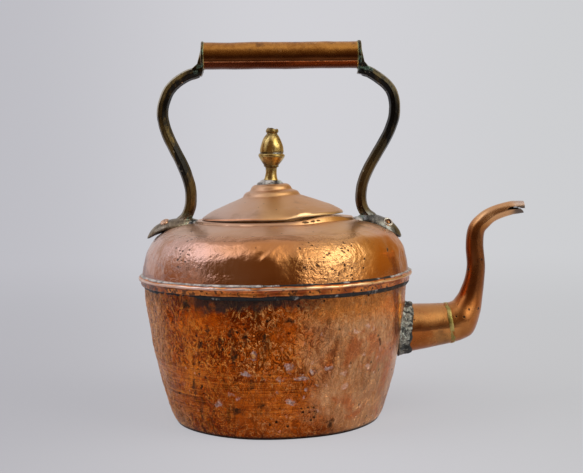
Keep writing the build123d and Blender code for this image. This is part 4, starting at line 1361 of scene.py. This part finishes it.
def arm_brass(name, tones, lit_flank, foot_tones):
    """Old cast brass: dark, and green where it meets other metal. Painted light on it: a paler outer
    flank, pale edges that are partly rubbed brass and partly a painted highlight, and shade in the
    creases and on the feet's lower faces.
    """
    skin = Finish(bpy.data.materials.new(name))
    x, _, z = skin.axes()
    lengthwise = skin.scaled(1.0, 1.0, 0.38)
    patch = skin.noise(75, 4.0, 0.62, 0.0, lengthwise)
    fine = skin.noise(420, 4.0, 0.65, 0.0, lengthwise)
    flank = skin.add("ShaderNodeAttribute", {"attribute_name": "flank"}, {}, "Fac")
    mottle = patch * 0.65 + fine * 0.35
    # Painted light: faces turned up and outwards (the flank attribute) are painted paler, most near the top.
    colour = skin.blend((flank * 0.10 + mottle).rise(0.44, 0.58), tones[0], tones[1])
    outer = (flank + (mottle - 0.5) * 0.9).rise(0.55, 0.80)
    colour = skin.blend(outer * (0.22 + 0.68 * z.rise(0.216, 0.234)), colour, lit_flank)
    worn_brown = z.rise(0.195, 0.180) * z.rise(0.148, 0.158) * patch.rise(0.38, 0.55)
    colour = skin.blend(worn_brown * 0.6, colour, (0.15, 0.080, 0.020))
    chips = skin.cells(300, skin.ragged(500, 0.002)).rise(0.22, 0.10) * skin.noise(70, 2.0).rise(0.50, 0.60)
    colour = skin.blend(chips, colour, (0.012, 0.010, 0.008))
    edge = skin.add("ShaderNodeNewGeometry", {}, {}, "Pointiness")
    # Painted highlight on convex edges, partly rubbed brass; painted shade in concave creases.
    colour = skin.blend(edge.rise(0.515, 0.565) * (0.25 + 0.75 * patch.rise(0.42, 0.6)), colour, tones[2])
    colour = skin.blend(edge.rise(0.485, 0.44) * 0.8, colour, (0.020, 0.017, 0.014))
    worn_foot = z.rise(0.152, 0.146)
    foot_tone = skin.blend((patch * 0.7 + fine * 0.3).rise(0.40, 0.60), *foot_tones)
    colour = skin.blend(worn_foot * 0.85, colour, foot_tone)
    # Painted shade on the feet's downward faces.
    under_shade = skin.axes(skin.add("ShaderNodeNewGeometry", {}, {}, "Normal"))[2].rise(-0.10, -0.45)
    colour = skin.blend(worn_foot * under_shade * 0.9, colour, (0.014, 0.012, 0.010))
    bloom = skin.noise(150, 4.0, 0.65, 0.2, skin.moved(0.9, 0.3, 0.5))
    ends = (z - 0.1475).size().rise(0.006, 0.001) * x.size().rise(0.070, 0.060)
    ends = ends.most(z.rise(0.251, 0.257) * 0.7)
    colour = skin.blend(bloom.rise(0.52, 0.61) * ends * 0.8, colour, (0.20, 0.33, 0.25))
    return skin.metal(
        Base_Color=colour, Metallic=0.9, Coat_Weight=0.1, Coat_Roughness=0.3,
        Roughness=0.20 + bloom.rise(0.5, 0.6) * ends * 0.3 + patch * 0.1,
        Normal=skin.relief(fine - chips * 1.5, 0.00022),
    )


def arm_waves(point):
    return Vector((1, 0.6, 0.5)) * wavy(point, 7, 0.18, 2.0)


for name, side, line, half_depth, leaf, necks, centre, plate_thick, tones, lit_flank, foot_tones in (
    ("rear", -1, REAR_LINE, 4.3, REAR_FOOT, REAR_NECK, GRIP_REAR, 1.8,
     [(0.012, 0.009, 0.006), (0.120, 0.073, 0.018), (0.58, 0.47, 0.31)], (0.47, 0.41, 0.30),
     [(0.15, 0.115, 0.085), (0.38, 0.30, 0.22)]),
    ("front", 1, FRONT_LINE, 4.2, FRONT_FOOT, FRONT_NECK, GRIP_FRONT, 2.4,
     [(0.009, 0.008, 0.007), (0.056, 0.038, 0.015), (0.50, 0.42, 0.28)], (0.24, 0.19, 0.095),
     [(0.075, 0.072, 0.068), (0.32, 0.30, 0.27)]),
):
    parts = [bar(line, side, ARM_HALF_WIDTH, half_depth), foot(leaf, side)]
    parts += [end_plate(side, centre, plate_thick), *(arm_neck(corners, side) for corners in necks)]
    arm = fused(parts, voxel=0.33, softened=2)
    pushed(arm, arm_waves)
    arm.normal_update()
    # Flank: how far each vertex faces up and outwards, which the material paints as the lit side.
    flank = arm.verts.layers.float.new("flank")
    for vertex in arm.verts:
        vertex[flank] = vertex.normal.dot(Vector((0.8 * side, 0, 0.6)))
    material = arm_brass(f"{name}_arm_brass", tones, lit_flank, foot_tones)
    piece(arm, f"{name}_arm_casting", "kettle", [material], f"{name}_handle_arm", sharp=70)


# Rivets: two copper rivets through each foot, hammered over copper burrs inside. The front ones have
# dished heads, rubbed pale on their edge, and stand on thin brass washers.
RIVET_TONES = [(0.88, 0.58, 0.42), (0.66, 0.36, 0.21), (0.10, 0.045, 0.03)]
rivet_copper = old_metal("rivet_copper", RIVET_TONES, 0.3)
painted(rivet_copper, "rear_foot_rivets", "rear_rivet_burrs", "front_rivet_burrs")
HEAD_AT, HEAD_WAY = Vector((0.0832, 0.0064, 0.1421)), Vector((0.19, 0.66, 0.73)).normalized()
SHANK_AT, SHANK_WAY = Vector((0.0834, 0.0050, 0.1430)), Vector((0.42, 0.04, 0.90)).normalized()
HEAD = [
    (0, -1.6), (2.0, -1.6), (2.4, -0.1), (3.2, 0.0), (3.4, 0.5), (3.2, 1.0), (2.8, 1.05), (2.4, 0.7),
    (1.9, 0.45), (1.3, 0.6), (0.8, 1.0), (0, 1.15),
]
SHANK = [(0, -9.7), (2.5, -9.7), (2.8, -9.2), (2.8, -8.7), (1.9, -8.3), (1.9, -1.2), (0, -1.2)]
WASHER = [(2.6, -0.7), (3.5, -0.7), (3.75, -0.3), (3.6, 0.05), (2.6, 0.1)]


def on_flanks(outline, at, way, closed=False):
    """The outline, spun, on both flanks of the front foot. Its place and its axis are the far one's."""
    pair = []
    for flank in (-1, 1):
        spun = turned(outline, sides=64, closed=closed)
        tilt = Vector((way.x, way.y * flank, way.z)).to_track_quat("Z", "Y").to_matrix().to_4x4()
        place = Matrix.Translation((at.x, at.y * flank, at.z)) @ tilt
        bmesh.ops.transform(spun, matrix=place, verts=spun.verts)
        pair.append(spun)
    return joined(pair)


def ringed_rivet(name):
    """Copper head whose edge is rubbed down to a pale ring, with painted shade in the groove between ring
    and middle.
    """
    skin = Finish(bpy.data.materials.new(name))
    x, y, z = skin.axes()
    near = skin.add("ShaderNodeCombineXYZ", {}, {0: x, 1: y.size(), 2: z})
    aside = skin.vector("CROSS_PRODUCT", skin.vector("SUBTRACT", near, HEAD_AT), HEAD_WAY)
    radius = skin.vector("LENGTH", aside, (0, 0, 0), 1)
    patch = skin.noise(300, 4.0, 0.6)
    colour = skin.blend(patch.rise(0.36, 0.60), (0.30, 0.115, 0.04), (0.62, 0.30, 0.13))
    colour = skin.blend(radius.rise(0.0023, 0.0027), colour, (0.86, 0.78, 0.66))
    # Painted shade in the groove between the pale ring and the middle.
    groove = (radius - 0.0020).size().rise(0.0006, 0.0002)
    colour = skin.blend(groove * 0.9, colour, (0.04, 0.022, 0.014))
    return skin.metal(
        Base_Color=colour, Metallic=0.95, Roughness=0.28 + patch * 0.15,
        Normal=skin.relief(patch * 0.4 - groove, 0.0006),
    )


heads = on_flanks(eased(HEAD, 0.25), HEAD_AT, HEAD_WAY)
rivets = joined([heads, on_flanks(SHANK, SHANK_AT, SHANK_WAY)])
piece(rivets, "front_rivets", "kettle", [ringed_rivet("front_rivet_copper")],
      "front_foot_rivets")
WASHER_TONES = [(0.82, 0.76, 0.62), (0.66, 0.60, 0.47), (0.24, 0.21, 0.16)]
washer_metal = old_metal("washer_metal", WASHER_TONES, 0.34)
washers = on_flanks(WASHER, HEAD_AT, HEAD_WAY, closed=True)
piece(washers, "front_washers", "kettle", [washer_metal], "front_rivet_washers")
